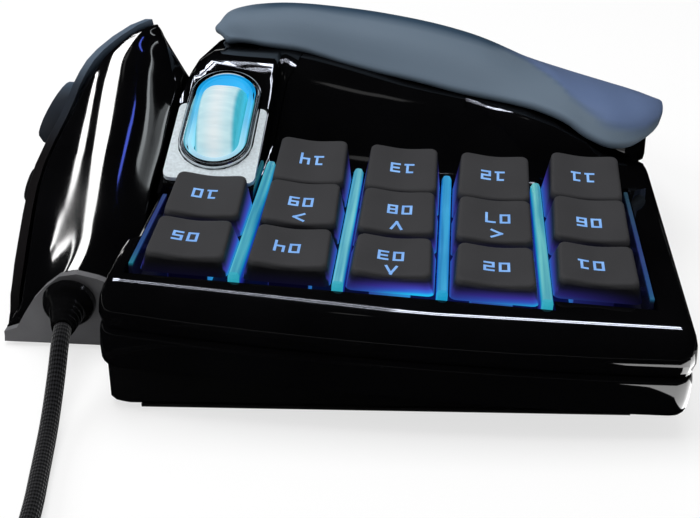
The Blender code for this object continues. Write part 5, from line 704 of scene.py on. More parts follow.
# Metals: dark and light colour, roughness, then the run of the marks along x, y and z and their relief in mm
METALS = {
    # Bright chrome on ABS: a mirror with a slight wave
    "chrome_plate": ("#d4d8dc", "#e9edf0", (0.04, 0.08), (5, 5, 5), 0.002),
    # Zinc plate on the screws: dull, with fine marks
    "zinc_plate": ("#8f9296", "#c3c6c9", (0.28, 0.42), (1, 1, 1), 0.005),
    # Plain steel of the pins, turned, with fine marks round it
    "turned_steel": ("#a5a6a8", "#c8c9cb", (0.22, 0.34), (0.2, 4, 4), 0.004),
    # Nickel plate of the plug's shell, with fine marks across it
    "nickel_plate": ("#bdb9b0", "#dcd8cf", (0.14, 0.24), (4, 0.4, 4), 0.004),
}

# Finishes with a function of their own, whose docstring says what they are
MAKERS = {
    "gloss_black_abs": gloss_coat, "matte_charcoal_coat": key_coat, "soft_touch_blue_grey": rest_coat,
    "soft_touch_panel": panel_coat, "frosted_polycarbonate": wheel_light, "lit_guide": guide_light,
    "lit_plate": plate_light, "lit_ring": ring_light, "lit_figure": figure_light, "braided_nylon": braided,
    "green_board": circuit,
}
FINISHES = {}


def finish(name):
    """The material of that name, made the first time it is asked for."""
    if name in FINISHES:
        return FINISHES[name]
    if name in MOULDINGS:
        colour, rough, grain, relief, cloud, vary, settings = MOULDINGS[name]
        made = moulded(name, linear(colour), rough, grain * MM, relief * MM, cloud * MM, vary, **settings)
    elif name in METALS:
        low, high, rough, lines, relief = METALS[name]
        made = metal(name, linear(low), linear(high), rough, [run * MM for run in lines], relief * MM)
    else:
        made = MAKERS[name](name)
    FINISHES[name] = made
    return made


def smooth_path(points, count):
    """Places evenly spaced along a smooth curve through given points: cubic Hermite pieces whose slopes are
    the differences of the neighbours over their chord lengths."""
    given = np.array(points, dtype=float)
    along = np.concatenate(([0.0], np.cumsum(np.linalg.norm(np.diff(given, axis=0), axis=1))))
    slope = np.gradient(given, along, axis=0)
    wanted = np.linspace(0.0, along[-1], count)
    k = np.clip(np.searchsorted(along, wanted, side="right") - 1, 0, len(along) - 2)
    span = (along[k + 1] - along[k])[:, None]
    f = (wanted - along[k])[:, None] / span
    value = given[k] * (2 * f**3 - 3 * f**2 + 1) + given[k + 1] * (3 * f**2 - 2 * f**3)
    return value + span * (slope[k] * (f**3 - 2 * f**2 + f) + slope[k + 1] * (f**3 - f**2))


def from_deck(points):
    """Places on the rolled deck (across, along, up) as places in the frame: a turn about y, then a shift."""
    points = np.asarray(points, dtype=float)
    s, c = math.sin(DECK_ROLL), math.cos(DECK_ROLL)
    x = points[..., 0] * c + points[..., 2] * s
    z = -points[..., 0] * s + points[..., 2] * c
    return np.stack((x + PLAN[0], points[..., 1] + PLAN[1], z + EDGE_HEIGHT), axis=-1)


def grid_faces(rows, columns, around=False, first=0):
    """The quads of a grid of rows by columns, joined round in the column direction when asked."""
    r = np.arange(rows - 1)[:, None] * columns + first
    wide = columns if around else columns - 1
    c = np.arange(wide)[None, :]
    after = (c + 1) % columns
    quads = np.stack((r + c, r + after, r + columns + after, r + columns + c), axis=-1)
    return quads.reshape(-1, 4).tolist()


def closed_faces(rows, columns):
    """The quads of a grid that is joined round in both directions."""
    return (np.array(grid_faces(rows + 1, columns, around=True)) % (rows * columns)).tolist()


def end_faces(rows, columns):
    """The two flat ends of a grid that is joined round in the column direction."""
    return [list(range(columns - 1, -1, -1)), list(range((rows - 1) * columns, rows * columns))]


def make_piece(name, points, faces, material, sharp=40.0, turn_out=True):
    """A mesh object from places and faces, its faces turned outwards, smooth but for edges over an angle."""
    mesh = bpy.data.meshes.new(name)
    mesh.from_pydata(np.asarray(points).reshape(-1, 3).tolist(), [], faces)
    if turn_out:
        body = bmesh.new()
        body.from_mesh(mesh)
        bmesh.ops.remove_doubles(body, verts=body.verts[:], dist=0.001 * MM)
        bmesh.ops.recalc_face_normals(body, faces=body.faces[:])
        body.to_mesh(mesh)
        body.free()
    mesh.materials.append(material)
    mesh.shade_smooth()
    mesh.set_sharp_from_angle(angle=math.radians(sharp))
    piece = bpy.data.objects.new(name, mesh)
    bpy.context.scene.collection.objects.link(piece)
    return piece


def skin(name, rings, material, sharp=40.0):
    """A closed body over rings with the same number of places; each end ring is filled flat."""
    rings = np.asarray(rings, dtype=float)
    rows, columns = rings.shape[:2]
    faces = grid_faces(rows, columns, around=True) + end_faces(rows, columns)
    return make_piece(name, rings, faces, material, sharp)


def dress(looks):
    """Give CAD nodes their materials: looks names, for each finish, the nodes that have it."""
    for finish_name, nodes in looks.items():
        for node in nodes:
            mesh = frame["nodes"][node].data
            mesh.materials.clear()
            mesh.materials.append(finish(finish_name))


def stand_for(piece, *nodes, slot=None):
    """A piece takes the place of CAD nodes and rides on their body."""
    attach(piece, frame["nodes"][nodes[0]]["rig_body"])
    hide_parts(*nodes)
    return piece


def softened(node, name, finish_name, width, slot, segments=2, angle=32.0):
    """A copy of a CAD node, its triangles merged into flat faces and its edges rounded by a bevel."""
    mesh = frame["nodes"][node].data.copy()
    mesh.name = name
    body = bmesh.new()
    body.from_mesh(mesh)
    bmesh.ops.remove_doubles(body, verts=body.verts[:], dist=0.002 * MM)
    bmesh.ops.dissolve_limit(body, angle_limit=math.radians(1.0), verts=body.verts[:], edges=body.edges[:])
    body.to_mesh(mesh)
    body.free()
    mesh.materials.clear()
    mesh.materials.append(finish(finish_name))
    mesh.shade_smooth()
    mesh.set_sharp_from_angle(angle=math.radians(angle))
    piece = bpy.data.objects.new(name, mesh)
    bpy.context.scene.collection.objects.link(piece)
    edge = piece.modifiers.new("edge round", "BEVEL")
    edge.limit_method = "ANGLE"
    edge.angle_limit = math.radians(angle)
    edge.width = width
    edge.segments = segments
    edge.harden_normals = True
    return stand_for(piece, node, slot=slot)


def rounded(half_x, half_y, corner, steps, between=0):
    """A rounded rectangle about zero: four quarter turns of equal steps, each about its corner's middle,
    with a number of even places between one turn and the next."""
    turn = np.linspace(0.0, 0.25 * TURN, steps)[None, :] + np.arange(4)[:, None] * 0.25 * TURN
    middle_x = np.array((1, -1, -1, 1))[:, None] * (half_x - corner)
    middle_y = np.array((1, 1, -1, -1))[:, None] * (half_y - corner)
    arcs = np.stack((middle_x + corner * np.cos(turn), middle_y + corner * np.sin(turn)), axis=-1)
    share = np.linspace(0.0, 1.0, between + 2)[None, 1:-1, None]
    sides = arcs[:, -1:] * (1.0 - share) + np.roll(arcs[:, :1], -1, axis=0) * share
    return np.concatenate((arcs, sides), axis=1).reshape(-1, 2)


def sweep(path, outline, up=(0.0, 0.0, 1.0)):
    """An outline carried along a path: at each place its x lies level across the path, its y stands up.
    outline is (count, 2), or (path length, count, 2) where it changes on the way."""
    path = np.asarray(path, dtype=float)
    run = np.gradient(path, axis=0)
    run /= np.linalg.norm(run, axis=1)[:, None]
    side = np.cross(run, np.asarray(up, dtype=float))
    side /= np.linalg.norm(side, axis=1)[:, None]
    high = np.cross(side, run)
    outline = np.broadcast_to(outline, (len(path), *np.shape(outline)[-2:]))
    return path[:, None, :] + side[:, None, :] * outline[..., 0:1] + high[:, None, :] * outline[..., 1:2]


def lead_line():
    """The middle line of the whole lead: out of the boot, over the table, round the coil and to the plug."""
    axis = (BOOT_TIP - BOOT_MOUTH) / np.linalg.norm(BOOT_TIP - BOOT_MOUTH)
    pitch = LEAD_DIAMETER + COIL_GAP
    spread = COIL_TURNS * pitch
    steps = COIL_TURNS * COIL_LOOP_POINTS
    step = np.arange(COIL_LAYERS * steps + 1)
    layer, within = np.divmod(step, steps)
    inward = np.where(layer % 2 == 0, within, steps - within)
    radius = COIL_MIDDLE_RADIUS + 0.5 * spread - spread * inward / steps
    reversal = np.arange(1, COIL_LAYERS)[:, None]
    share = np.clip((step[None, :] - reversal * steps) / (COIL_LOOP_POINTS // 2) + 0.5, 0.0, 1.0)
    level = np.sum(share * share * (3.0 - 2.0 * share), axis=0)
    angle = math.pi + TURN * step / COIL_LOOP_POINTS
    floor = 0.5 * LEAD_DIAMETER + TIE_GAP + TIE_THICK + 0.5 * FIT_GAP
    coil = np.stack((COIL_CENTRE[0] + radius * np.cos(angle), COIL_CENTRE[1] + radius * np.sin(angle),
                     floor + level * pitch), axis=-1)
    entry = np.array((0.0, -1.0, 0.0))
    start = coil[0] - entry * (LEAD_DIAMETER + FIT_GAP)
    first = BOOT_TIP + axis * FIT_GAP
    route = [first + axis * LEAD_DIAMETER, *FREE_ROUTE, start - entry * LEAD_DIAMETER, start]
    leave = coil[-1] - coil[-2]
    flat = np.array((leave[0], leave[1], 0.0)) / math.hypot(leave[0], leave[1])
    rest = 0.5 * PLUG_HEIGHT
    end = np.array((coil[-1][0], coil[-1][1], rest)) + flat * TAIL_LENGTH
    middle = 0.5 * (coil[-1] + end) + np.array((0.0, 0.0, 0.12 * (coil[-1][2] - rest)))
    tail = smooth_path(
        [coil[-1], coil[-1] + flat * LEAD_DIAMETER, middle, end - flat * LEAD_DIAMETER, end], 9)
    places = np.concatenate(([first], smooth_path(route, 14), coil, tail[1:]))
    return smooth_path(places, 900) + PLAN


class KEYPAD_OT_camera(bpy.types.Operator):
    """Set up the camera at the photograph's angle"""

    bl_idname = "keypad.camera"
    bl_label = "Camera"

    def execute(self, context):
        data = bpy.data.cameras.new("studio_camera")
        data.lens = CAMERA_LENS
        data.sensor_width = 36.0
        data.clip_start = 0.01
        data.clip_end = 50.0
        camera = bpy.data.objects.new("studio_camera", data)
        context.scene.collection.objects.link(camera)
        level = math.cos(CAMERA_DIP)
        ahead = Vector((math.sin(CAMERA_TURN) * level, math.cos(CAMERA_TURN) * level, -math.sin(CAMERA_DIP)))
        camera.location = Vector(CAMERA_PLACE)
        camera.rotation_mode = "QUATERNION"
        camera.rotation_quaternion = ahead.to_track_quat("-Z", "Y")
        context.scene.camera = camera
        return {"FINISHED"}


def sleeve(line):
    """The lead's braided sleeve: a circle carried along the line. Its map runs with the length, in braid
    pitches, one way and round the sleeve the other."""
    turn = np.arange(LEAD_SIDES) * TURN / LEAD_SIDES
    circle = 0.5 * LEAD_DIAMETER * np.stack((np.cos(turn), np.sin(turn)), axis=-1)
    rings = sweep(line, circle)
    rows = len(rings)
    faces = grid_faces(rows, LEAD_SIDES, around=True) + end_faces(rows, LEAD_SIDES)
    lead = make_piece("lead_braided", rings, faces, finish("braided_nylon"), 50.0, turn_out=False)
    travel = np.concatenate(([0.0], np.cumsum(np.linalg.norm(np.diff(line, axis=0), axis=1))))
    row = np.repeat(np.arange(rows - 1), LEAD_SIDES)
    column = np.tile(np.arange(LEAD_SIDES), rows - 1)
    along = np.stack((travel[row], travel[row], travel[row + 1], travel[row + 1]), axis=-1) / BRAID_PITCH
    around = np.stack((column, column + 1, column + 1, column), axis=-1) * BRAID_ROUNDS / LEAD_SIDES
    flat = np.stack((along, around), axis=-1).reshape(-1, 2)
    every = np.zeros((len(lead.data.loops), 2))
    every[:len(flat)] = flat
    lead.data.uv_layers.new(name="Strands").data.foreach_set("uv", every.ravel())
    return stand_for(lead, "cable", "cable_coil", slot="cord_braid")


def boot():
    """The lead's boot: a circle carried from inside the end plate to the tip. Its radius follows the boot's
    profile, and past the waist a cosine adds the ribs."""
    turn = np.arange(BOOT_SIDES) * TURN / BOOT_SIDES
    inner = BOOT_MOUTH + (0.0, BOOT_REACH, 0.0)
    share = np.linspace(0.0, 1.0, 45)
    path = inner[None, :] + (BOOT_TIP - inner)[None, :] * share[:, None]
    ribs = np.where(share > BOOT_RIBS_FROM, np.cos((share - BOOT_RIBS_FROM) * TURN * BOOT_RIB_RATE), 1.0)
    radius = np.interp(share, BOOT_SHARES, BOOT_RADII) * MM + BOOT_RIB * ribs - BOOT_RIB
    ring = radius[:, None, None] * np.stack((np.cos(turn), np.sin(turn)), axis=-1)[None]
    piece = skin("boot_ribbed", sweep(path + PLAN, ring), finish("gloss_pvc"), 60.0)
    return stand_for(piece, "strain_relief", slot="boot_rubber")


def tie():
    """The strap round the coil: a rounded loop that stands across the lead, grown out and shifted along the
    lead by each place of the strap's section."""
    pitch = LEAD_DIAMETER + COIL_GAP
    half = 0.5 * (COIL_TURNS * pitch + LEAD_DIAMETER) + TIE_GAP
    stack = 0.5 * ((COIL_LAYERS - 1) * pitch + LEAD_DIAMETER) + TIE_GAP
    height = 0.5 * FIT_GAP + TIE_THICK + stack
    middle = np.array((COIL_CENTRE[0] + COIL_MIDDLE_RADIUS, COIL_CENTRE[1], height)) + PLAN
    rings = []
    for grow, shift in np.array(TIE_SECTION) * MM:
        outline = rounded(half + grow, stack + grow, pitch * 0.5 + grow, 8)
        rings.append(np.stack((middle[0] + outline[:, 0], np.full(len(outline), middle[1] + shift),
                               middle[2] + outline[:, 1]), axis=-1))
    faces = closed_faces(len(rings), len(rings[0]))
    strap = make_piece("coil_tie_strap", rings, faces, finish("hook_and_loop"), 50.0)
    return stand_for(strap, "coil_tie", slot="tie_fabric")


class KEYPAD_OT_lead(bpy.types.Operator):
    """Make the braided lead with its boot, coil, tie and plug"""

    bl_idname = "keypad.lead"
    bl_label = "Lead"

    def execute(self, context):
        line = lead_line()
        lead = sleeve(line)
        boot()
        strap = tie()
        plug = softened("usb_plug_body", "usb_plug_moulding", "black_pvc", 0.5 * MM, "boot_rubber", 3)
        metal_end = softened("usb_connector", "usb_connector_shell", "nickel_plate", 0.12 * MM, "plug_nickel")
        return {"FINISHED"}


def key_top(column, row, x, y):
    """A key's top: the place (x, y) on the sloping rectangle, drawn narrower to the back and scooped
    along its middle by a squared cosine of the place across."""
    depth = ROW_DEPTHS[row]
    shift = COLUMN_SHIFTS[column]
    u = (column - 2) * KEY_PITCH
    v = row * ROW_PITCH + shift
    half_x, half_y = 0.5 * KEY_TOP_WIDTH, 0.5 * depth
    dish = KEY_DISH * np.cos(0.25 * TURN * np.clip(x / half_x, -1.0, 1.0))**2
    narrow = 1.0 + (KEY_NARROWING - 1.0) * (0.5 + 0.5 * y / half_y)
    reach = half_y + y
    tilt = ROW_TILTS[row]
    return u + x * narrow, v + reach * math.cos(tilt), ROW_LEVELS[row] + reach * math.sin(tilt) - dish


def key_light(cap, column, row):
    """Paint the light that a keycap's walls catch from below: the share down the wall sets the colour, from
    none over violet and blue to cyan, and the wall's side and column set how much of it there is. Alpha is
    how much of the coat's own grey is left under painted shade, which takes it to near black an eighth of the
    way down."""
    mesh = cap.data
    place = np.empty(len(mesh.vertices) * 3)
    mesh.vertices.foreach_get("co", place)
    place = place.reshape(-1, 3) - DECK_START
    s, c = math.sin(DECK_ROLL), math.cos(DECK_ROLL)
    x = place[:, 0] * c - place[:, 2] * s - (column - 2) * KEY_PITCH
    y = place[:, 1] - row * ROW_PITCH - COLUMN_SHIFTS[column] + KEY_FLARE - 0.5 * KEY_FOOT[1]
    w = place[:, 0] * s + place[:, 2] * c
    brow = ROW_LEVELS[row] + (y + 0.5 * KEY_FOOT[1]) * math.tan(ROW_TILTS[row]) - LIGHT_START
    share = np.clip((brow - w) / (brow - KEY_SKIRT), 0.0, 1.0)
    front = (y < 0.0) & (-y > np.abs(x) - FRONT_REACH)
    side = (np.abs(x) > np.abs(y)) & ~front
    sides = np.where(x < 0.0, LEFT_LIGHT[column], RIGHT_LIGHT[column])
    level = np.where(front, FRONT_LIGHT[min(row, 1)][column], np.where(side, sides, REAR_LIGHT))
    level = level * np.where(front, 1.0 + FRONT_LEAN[column] * x / KEY_FOOT[0], 1.0)
    colours = np.array([linear(text) for text in LIGHT_COLOURS])
    bright = np.clip(level, 0.0, 1.2)
    shown = np.clip(share * (0.55 + 0.45 * bright), 0.0, 1.0)
    colour = np.stack([np.interp(shown, LIGHT_STOPS, colours[:, k]) for k in range(3)], axis=-1)
    colour = colour * bright[:, None]
    paint = mesh.color_attributes.new("Light", "FLOAT_COLOR", "POINT")
    # Painted shade: the coat's grey is taken towards near black in the first eighth of the way down the wall
    grey = 1.0 - WALL_SHADE_LOSS * np.clip(share * WALL_SHADE_FADE, 0.0, 1.0)
    paint.data.foreach_set("color", np.concatenate((colour, grey[:, None]), axis=1).ravel())


def key_rings(column, row, edge):
    """The rings of a keycap, on the deck: flat ones over its dished top, a quarter turn of them round the
    top's edge, then down the flared wall to the foot, up inside the wall and down the stem."""
    depth = ROW_DEPTHS[row]
    half_x, half_y = 0.5 * KEY_TOP_WIDTH, 0.5 * depth
    foot_x, foot_y = 0.5 * KEY_FOOT[0], 0.5 * KEY_FOOT[1]
    rings = []
    for shrink in KEY_INSETS:
        inset = shrink * depth + 0.3 * edge
        corner = min(KEY_CORNER, half_y - inset)
        flat = rounded(half_x - inset, half_y - inset, corner, *KEY_SPACING)
        rings.append(np.stack(key_top(column, row, flat[:, 0], flat[:, 1]), axis=-1))
    for turn in np.linspace(0.0, 0.5 * math.pi, 6):
        inset = edge * (1.0 - math.sin(turn))
        drop = edge * (1.0 - math.cos(turn))
        flat = rounded(half_x - inset, half_y - inset, KEY_CORNER - 0.4 * inset, *KEY_SPACING)
        x, y, z = key_top(column, row, flat[:, 0], flat[:, 1])
        rings.append(np.stack((x, y, z - drop), axis=-1))
    brow = rings[-1]
    middle = ((column - 2) * KEY_PITCH, row * ROW_PITCH + COLUMN_SHIFTS[column] - KEY_FLARE + foot_y)
    lower = []
    for wide, deep, corner, level in (
            (foot_x, foot_y, KEY_CORNER, KEY_SKIRT),
            (foot_x - 0.5 * KEY_WALL, foot_y - 0.5 * KEY_WALL, 1.2 * MM, KEY_SKIRT),
            (foot_x - KEY_WALL, foot_y - KEY_WALL, 1.0 * MM, KEY_SKIRT + 0.2 * MM),
            (foot_x - KEY_WALL, foot_y - KEY_WALL, 1.0 * MM, KEY_CEILING),
            (STEM_HALF, STEM_HALF, STEM_CORNER, KEY_CEILING),
            (STEM_HALF, STEM_HALF, STEM_CORNER, STEM_FOOT)):
        flat = rounded(wide, deep, corner, *KEY_SPACING) + middle
        lower.append(np.column_stack((flat, np.full(len(flat), level))))
    wall = [brow * (1.0 - share) + lower[0] * share for share in KEY_WALL_SHARES]
    return rings + wall + lower


class KEYPAD_OT_keys(bpy.types.Operator):
    """Make the fourteen keycaps"""

    bl_idname = "keypad.keys"
    bl_label = "Keycaps"

    def execute(self, context):
        edge = context.scene.keypad_sizes.edge_round
        material = finish("matte_charcoal_coat")
        for column, numbers in enumerate(KEY_NUMBERS):
            for row, number in enumerate(numbers):
                cap = skin(f"cap_{number:02d}", from_deck(key_rings(column, row, edge)), material, 50.0)
                key_light(cap, column, row)
                stand_for(cap, f"keycap_{number:02d}", slot="keycap_charcoal")
        return {"FINISHED"}


def bars(strokes, size, thick, segments=5):
    """Strokes as closed bars: each is cut into equal pieces along its line and reaches half its thickness
    past both ends. Gives the left and the right side of each bar as (stroke, place, x and y)."""
    strokes = np.array(strokes, dtype=float)
    start = strokes[:, 0:2] * size
    end = strokes[:, 2:4] * size
    run = end - start
    run /= np.linalg.norm(run, axis=1)[:, None]
    side = np.stack((-run[:, 1], run[:, 0]), axis=-1) * 0.5 * thick
    start = start - run * 0.5 * thick
    end = end + run * 0.5 * thick
    share = np.linspace(0.0, 1.0, segments + 1)[None, :, None]
    line = start[:, None] * (1.0 - share) + end[:, None] * share
    return line + side[:, None], line - side[:, None]


def legend(name, key, strokes, place, size, thick):
    """Figures that stand a hair proud of a key's top, following its dish, turned to face the wrist. key is
    its number, column and row, and place is in mm."""
    number, column, row = key
    left, right = bars(strokes, size, thick)
    corners = []
    for flat, lift in ((left, FIGURE_LIFT), (right, FIGURE_LIFT), (right, FIGURE_SINK), (left, FIGURE_SINK)):
        x = place[0] * MM - flat[..., 0]
        y = place[1] * MM - flat[..., 1] - 0.5 * ROW_DEPTHS[row]
        px, py, pz = key_top(column, row, x, y)
        corners.append(np.stack((px, py, pz + lift), axis=-1))
    sections = np.stack(corners, axis=2)
    count, pieces = sections.shape[:2]
    faces = []
    for first in range(0, count * pieces * 4, pieces * 4):
        faces += grid_faces(pieces, 4, around=True, first=first)
        faces += [[first + k for k in end] for end in end_faces(pieces, 4)]
    mark = make_piece(name, from_deck(sections), faces, finish("lit_figure"), 30.0)
    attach(mark, f"key_{number:02d}")


def centred(strokes, shift=0.0):
    """Strokes moved so that their cell's middle is at zero, then across by a shift in widths."""
    return [(a - 0.5 + shift, b - 0.5, c - 0.5 + shift, d - 0.5) for a, b, c, d in strokes]


class KEYPAD_OT_legends(bpy.types.Operator):
    """Put the lit numbers and arrows on the keys"""

    bl_idname = "keypad.legends"
    bl_label = "Legends"

    def execute(self, context):
        thick = context.scene.keypad_sizes.legend_stroke
        apart = 0.5 * FIGURE_PACE / FIGURE_SIZE[0]
        for column, numbers in enumerate(KEY_NUMBERS):
            for row, number in enumerate(numbers):
                text = f"{number:02d}"
                key = (number, column, row)
                strokes = centred(FIGURES[text[0]], -apart) + centred(FIGURES[text[1]], apart)
                legend(f"figure_{text}", key, strokes, LEGEND_PLACES[number], FIGURE_SIZE, thick)
                if number in ARROWS:
                    strokes = centred(ARROWS[number])
                    legend(f"arrow_{text}", key, strokes, ARROW_PLACES[number], ARROW_SIZE, thick)
        return {"FINISHED"}


def wing_sections(count, side_count, over_count):
    """Every section of the wing: its y, the thumb side from foot to edge, and the gloss top from the edge
    over brow, nose and shoulder to the root. Sections follow a smooth path through the table of shares."""
    stations = smooth_path(WING_SHARES, count)
    y = WING_START[1] + stations[:, 0] * WING_SIZE[1]
    sides = []
    overs = []
    for station in stations:
        pairs = station[1:13].reshape(-1, 2) * WING_SIZE[[0, 2]] + (WING_START[0], 0.0)
        edge, brow, nose, shoulder, root, middle = pairs
        foot = (WING_START[0] + station[13] * WING_SIZE[0], WING_FLOOR)
        sides.append(smooth_path([foot, middle, edge], side_count))
        start = edge + (PANEL_THICK + PANEL_CLEAR, PANEL_RISE)
        overs.append(smooth_path([start, brow, nose, shoulder, root], over_count))
    return y, np.array(sides), np.array(overs)


def calm_normals(y, overs):
    """Shading normals of the wing's gloss top, as a polished tool leaves them: ahead of the peak each is
    averaged along the wing under a bell curve. Zero, at the panel, the root and behind the peak, leaves the
    mesh its own."""
    places = np.stack((overs[..., 0], np.broadcast_to(y[:, None], overs.shape[:2]), overs[..., 1]), axis=-1)
    own = np.cross(np.gradient(places, axis=1), np.gradient(places, axis=0))
    own /= np.linalg.norm(own, axis=2)[..., None]
    ahead = (CALM_END - (y - WING_START[1]) / WING_SIZE[1]) / CALM_FADE
    last = int(np.argmax(ahead < 0.0))
    k = np.arange(-3 * CALM_ROWS, 3 * CALM_ROWS + 1)
    bell = np.exp(-0.5 * (k / CALM_ROWS)**2)
    padded = np.pad(own[:last], ((3 * CALM_ROWS, 3 * CALM_ROWS), (0, 0), (0, 0)), mode="edge")
    calm = np.lib.stride_tricks.sliding_window_view(padded, len(bell), axis=0) @ bell
    calm /= np.linalg.norm(calm, axis=2)[..., None]
    share = np.clip(ahead[:last], 0.0, 1.0)[:, None, None]
    facing = np.zeros_like(own)
    facing[:last, 1:-1] = (own[:last] * (1.0 - share) + calm * share)[:, 1:-1]
    return facing / np.maximum(np.linalg.norm(facing, axis=2), 1e-9)[..., None]


def wing_rings(y, sides, overs):
    """The rings of the wing's gloss shell: up the thumb side, set in to make room for the panel, over the top
    and down the root, then three that shrink towards the middle to round the rear end."""
    inset = PANEL_THICK + PANEL_CLEAR
    root_x = WING_START[0] + 0.95 * WING_SIZE[0]
    rings = []
    for k, (side, over) in enumerate(zip(sides, overs)):
        step = inset * min(k / WING_FRONT_ROWS, 1.0)
        low = min(WING_FOOT_HEIGHT, 0.5 * (side[0][1] + side[-1][1]))
        heights = np.linspace(low, side[-1][1], WING_SIDE_PLACES)
        run = np.stack((np.interp(heights, side[:, 1], side[:, 0]), heights), axis=-1)
        root_z = min(over[-1][1] - PANEL_RISE, 0.53 * WING_SIZE[2])
        flat = np.concatenate((
            [(side[0][0], WING_FLOOR), (run[0][0], low)], run[:-1] + (step, 0.02 * MM), over,
            [(root_x, root_z), (root_x, WING_FLOOR)]))
        rings.append(np.stack((flat[:, 0], np.full(len(flat), y[k]), flat[:, 1]), axis=-1))
    last = rings[-1]
    middle = 0.5 * (last[0][0] + last[-1][0])
    for back, drop, pull in WING_REAR:
        tail = last.copy()
        tail[:, 0] += np.sign(middle - last[:, 0]) * pull * MM
        tail[:, 1] += back * MM
        tail[:, 2] = np.maximum(last[:, 2] - drop * MM, WING_FLOOR)
        rings.append(tail)
    return np.array(rings)


class KEYPAD_OT_wing(bpy.types.Operator):
    """Make the gloss shell of the thumb wing and dress its panel and controls"""

    bl_idname = "keypad.wing"
    bl_label = "Thumb wing"

    def execute(self, context):
        y, sides, overs = wing_sections(110, 18, 44)
        rings = wing_rings(y, sides, overs)
        shell = skin("wing_shell_gloss", rings + PLAN, finish("gloss_black_abs"), 40.0)
        facing = np.zeros(rings.shape)
        first = WING_SIDE_PLACES + 1
        facing[:len(y), first:first + overs.shape[1]] = calm_normals(y, overs)
        shell.data.normals_split_custom_set_from_vertices(facing.reshape(-1, 3).tolist())
        stand_for(shell, "wing_shell", slot="gloss_black")
        dress({
            "pad_rubber": ["direction_pad"], "grey_acetal": ["pad_gimbal"], "turned_steel": ["thumb_bar_pin"],
            "matte_black_abs": ["thumb_button", "thumb_bar"], "dark_grey_abs": ["wing_end_plate"],
            "moulded_rubber": ["wing_foot_front", "wing_foot_rear"]})
        softened("thumb_panel", "thumb_panel_coated", "soft_touch_panel", 0.3 * MM, "soft_blue_grey", 2, 50.0)
        return {"FINISHED"}


class KEYPAD_OT_shells(bpy.types.Operator):
    """Dress the casings, the hump's cover, the base and what lies inside"""

    bl_idname = "keypad.shells"
    bl_label = "Casings"

    def execute(self, context):
        dress({
            "moulded_rubber": ["base_foot_front", "base_foot_rear"], "lit_plate": ["key_carrier"],
            "lit_guide": ["light_guide"], "silicone_sheet": ["dome_sheet"], "green_board": ["circuit_board"],
            "zinc_plate": [
                f"case_screw_{end}_{side}" for end in ("front", "rear") for side in ("left", "right")]})
        width = context.scene.keypad_sizes.shell_bevel
        for node in ("upper_casing", "lower_casing"):
            softened(node, f"{node}_gloss", "gloss_black_abs", width, "gloss_black")
        softened("hump_cover", "hump_cover_gloss", "gloss_black_abs", 0.6 * width, "gloss_black")
        softened("base_wedge", "base_wedge_satin", "satin_black_abs", width, "base_black")
        return {"FINISHED"}


def from_slope(u, s, n):
    """Places on the wheel plate's slope (across, up the slope, out of it) as places in the frame."""
    v = SLOPE_START[0] + s * math.cos(SLOPE) - n * math.sin(SLOPE)
    w = SLOPE_START[1] + s * math.sin(SLOPE) + n * math.cos(SLOPE)
    return from_deck(np.stack((u, v, w), axis=-1))


def slot_ring(name, material, profile, node, slot):
    """A ring round the wheel's slot: a profile of (inset, height) in millimetres carried round an outline of
    two half circles joined by straight sides."""
    half = 33
    turn = np.concatenate((np.linspace(0.0, 0.5 * TURN, half), np.linspace(0.5 * TURN, TURN, half)))
    end = np.repeat((1.0, -1.0), half) * (RING_HALF_LENGTH - RING_HALF_WIDTH)
    inset, height = np.array(profile).T * MM
    reach = RING_HALF_WIDTH - inset[:, None]
    u = RING_CENTRE[0] + reach * np.cos(turn)
    s = RING_CENTRE[1] + reach * np.sin(turn) + end
    rings = from_slope(u, s, np.broadcast_to(height[:, None], u.shape))
    rows, columns = u.shape
    ring = make_piece(name, rings, closed_faces(rows, columns), material, 50.0)
    return stand_for(ring, node, slot=slot)


def wheel_barrel():
    """The scroll wheel: circles across its width, smaller to the rims by the fourth power of the sine that
    spaces them, with a narrow groove at each rib that fades out at the rims."""
    turn = np.arange(WHEEL_RIBS * 8) * TURN / (WHEEL_RIBS * 8)
    across = np.sin(np.linspace(-0.5, 0.5, 19) * math.pi)
    crown = WHEEL_RADIUS - WHEEL_CROWN * across**4
    groove = WHEEL_GROOVE * np.clip(np.cos(turn * WHEEL_RIBS), 0.0, 1.0)**6
    reach = crown[:, None] - groove[None, :] * (1.0 - across[:, None]**2)
    s = RING_CENTRE[1] + reach * np.cos(turn)
    n = reach * np.sin(turn) - WHEEL_SINK
    u = np.broadcast_to(RING_CENTRE[0] + 0.5 * WHEEL_WIDTH * across[:, None], s.shape)
    return skin("wheel_barrel", from_slope(u, s, n), finish("frosted_polycarbonate"), 60.0)


class KEYPAD_OT_wheel(bpy.types.Operator):
    """Make the scroll wheel, its lit ring and its chrome ring, and dress the silver plate"""

    bl_idname = "keypad.wheel"
    bl_label = "Scroll wheel"

    def execute(self, context):
        dress({
            "silver_lacquer": ["wheel_plate"], "turned_steel": ["wheel_axle"],
            "black_acetal": ["wheel_carriage"]})
        slot_ring("wheel_ring_chrome", finish("chrome_plate"), CHROME_PROFILE, "wheel_bezel", "ring_chrome")
        slot_ring("wheel_ring_lit", finish("lit_ring"), LIT_PROFILE, "wheel_glow_ring", "light_acrylic")
        stand_for(wheel_barrel(), "scroll_wheel", slot="wheel_milky")
        return {"FINISHED"}


def rest_surface(across, along):
    """The palm rest's upper surface: five smooth lines across it, and smooth columns through them."""
    rows = np.array([smooth_path(np.array(line) * REST_SIZE + REST_START, 25) for line in REST_LINES])
    columns = np.array([smooth_path(rows[:, k], 11) for k in range(25)])
    fine = np.array([smooth_path(columns[:, k], across) for k in range(11)])
    return np.array([smooth_path(fine[:, k], along) for k in range(across)])


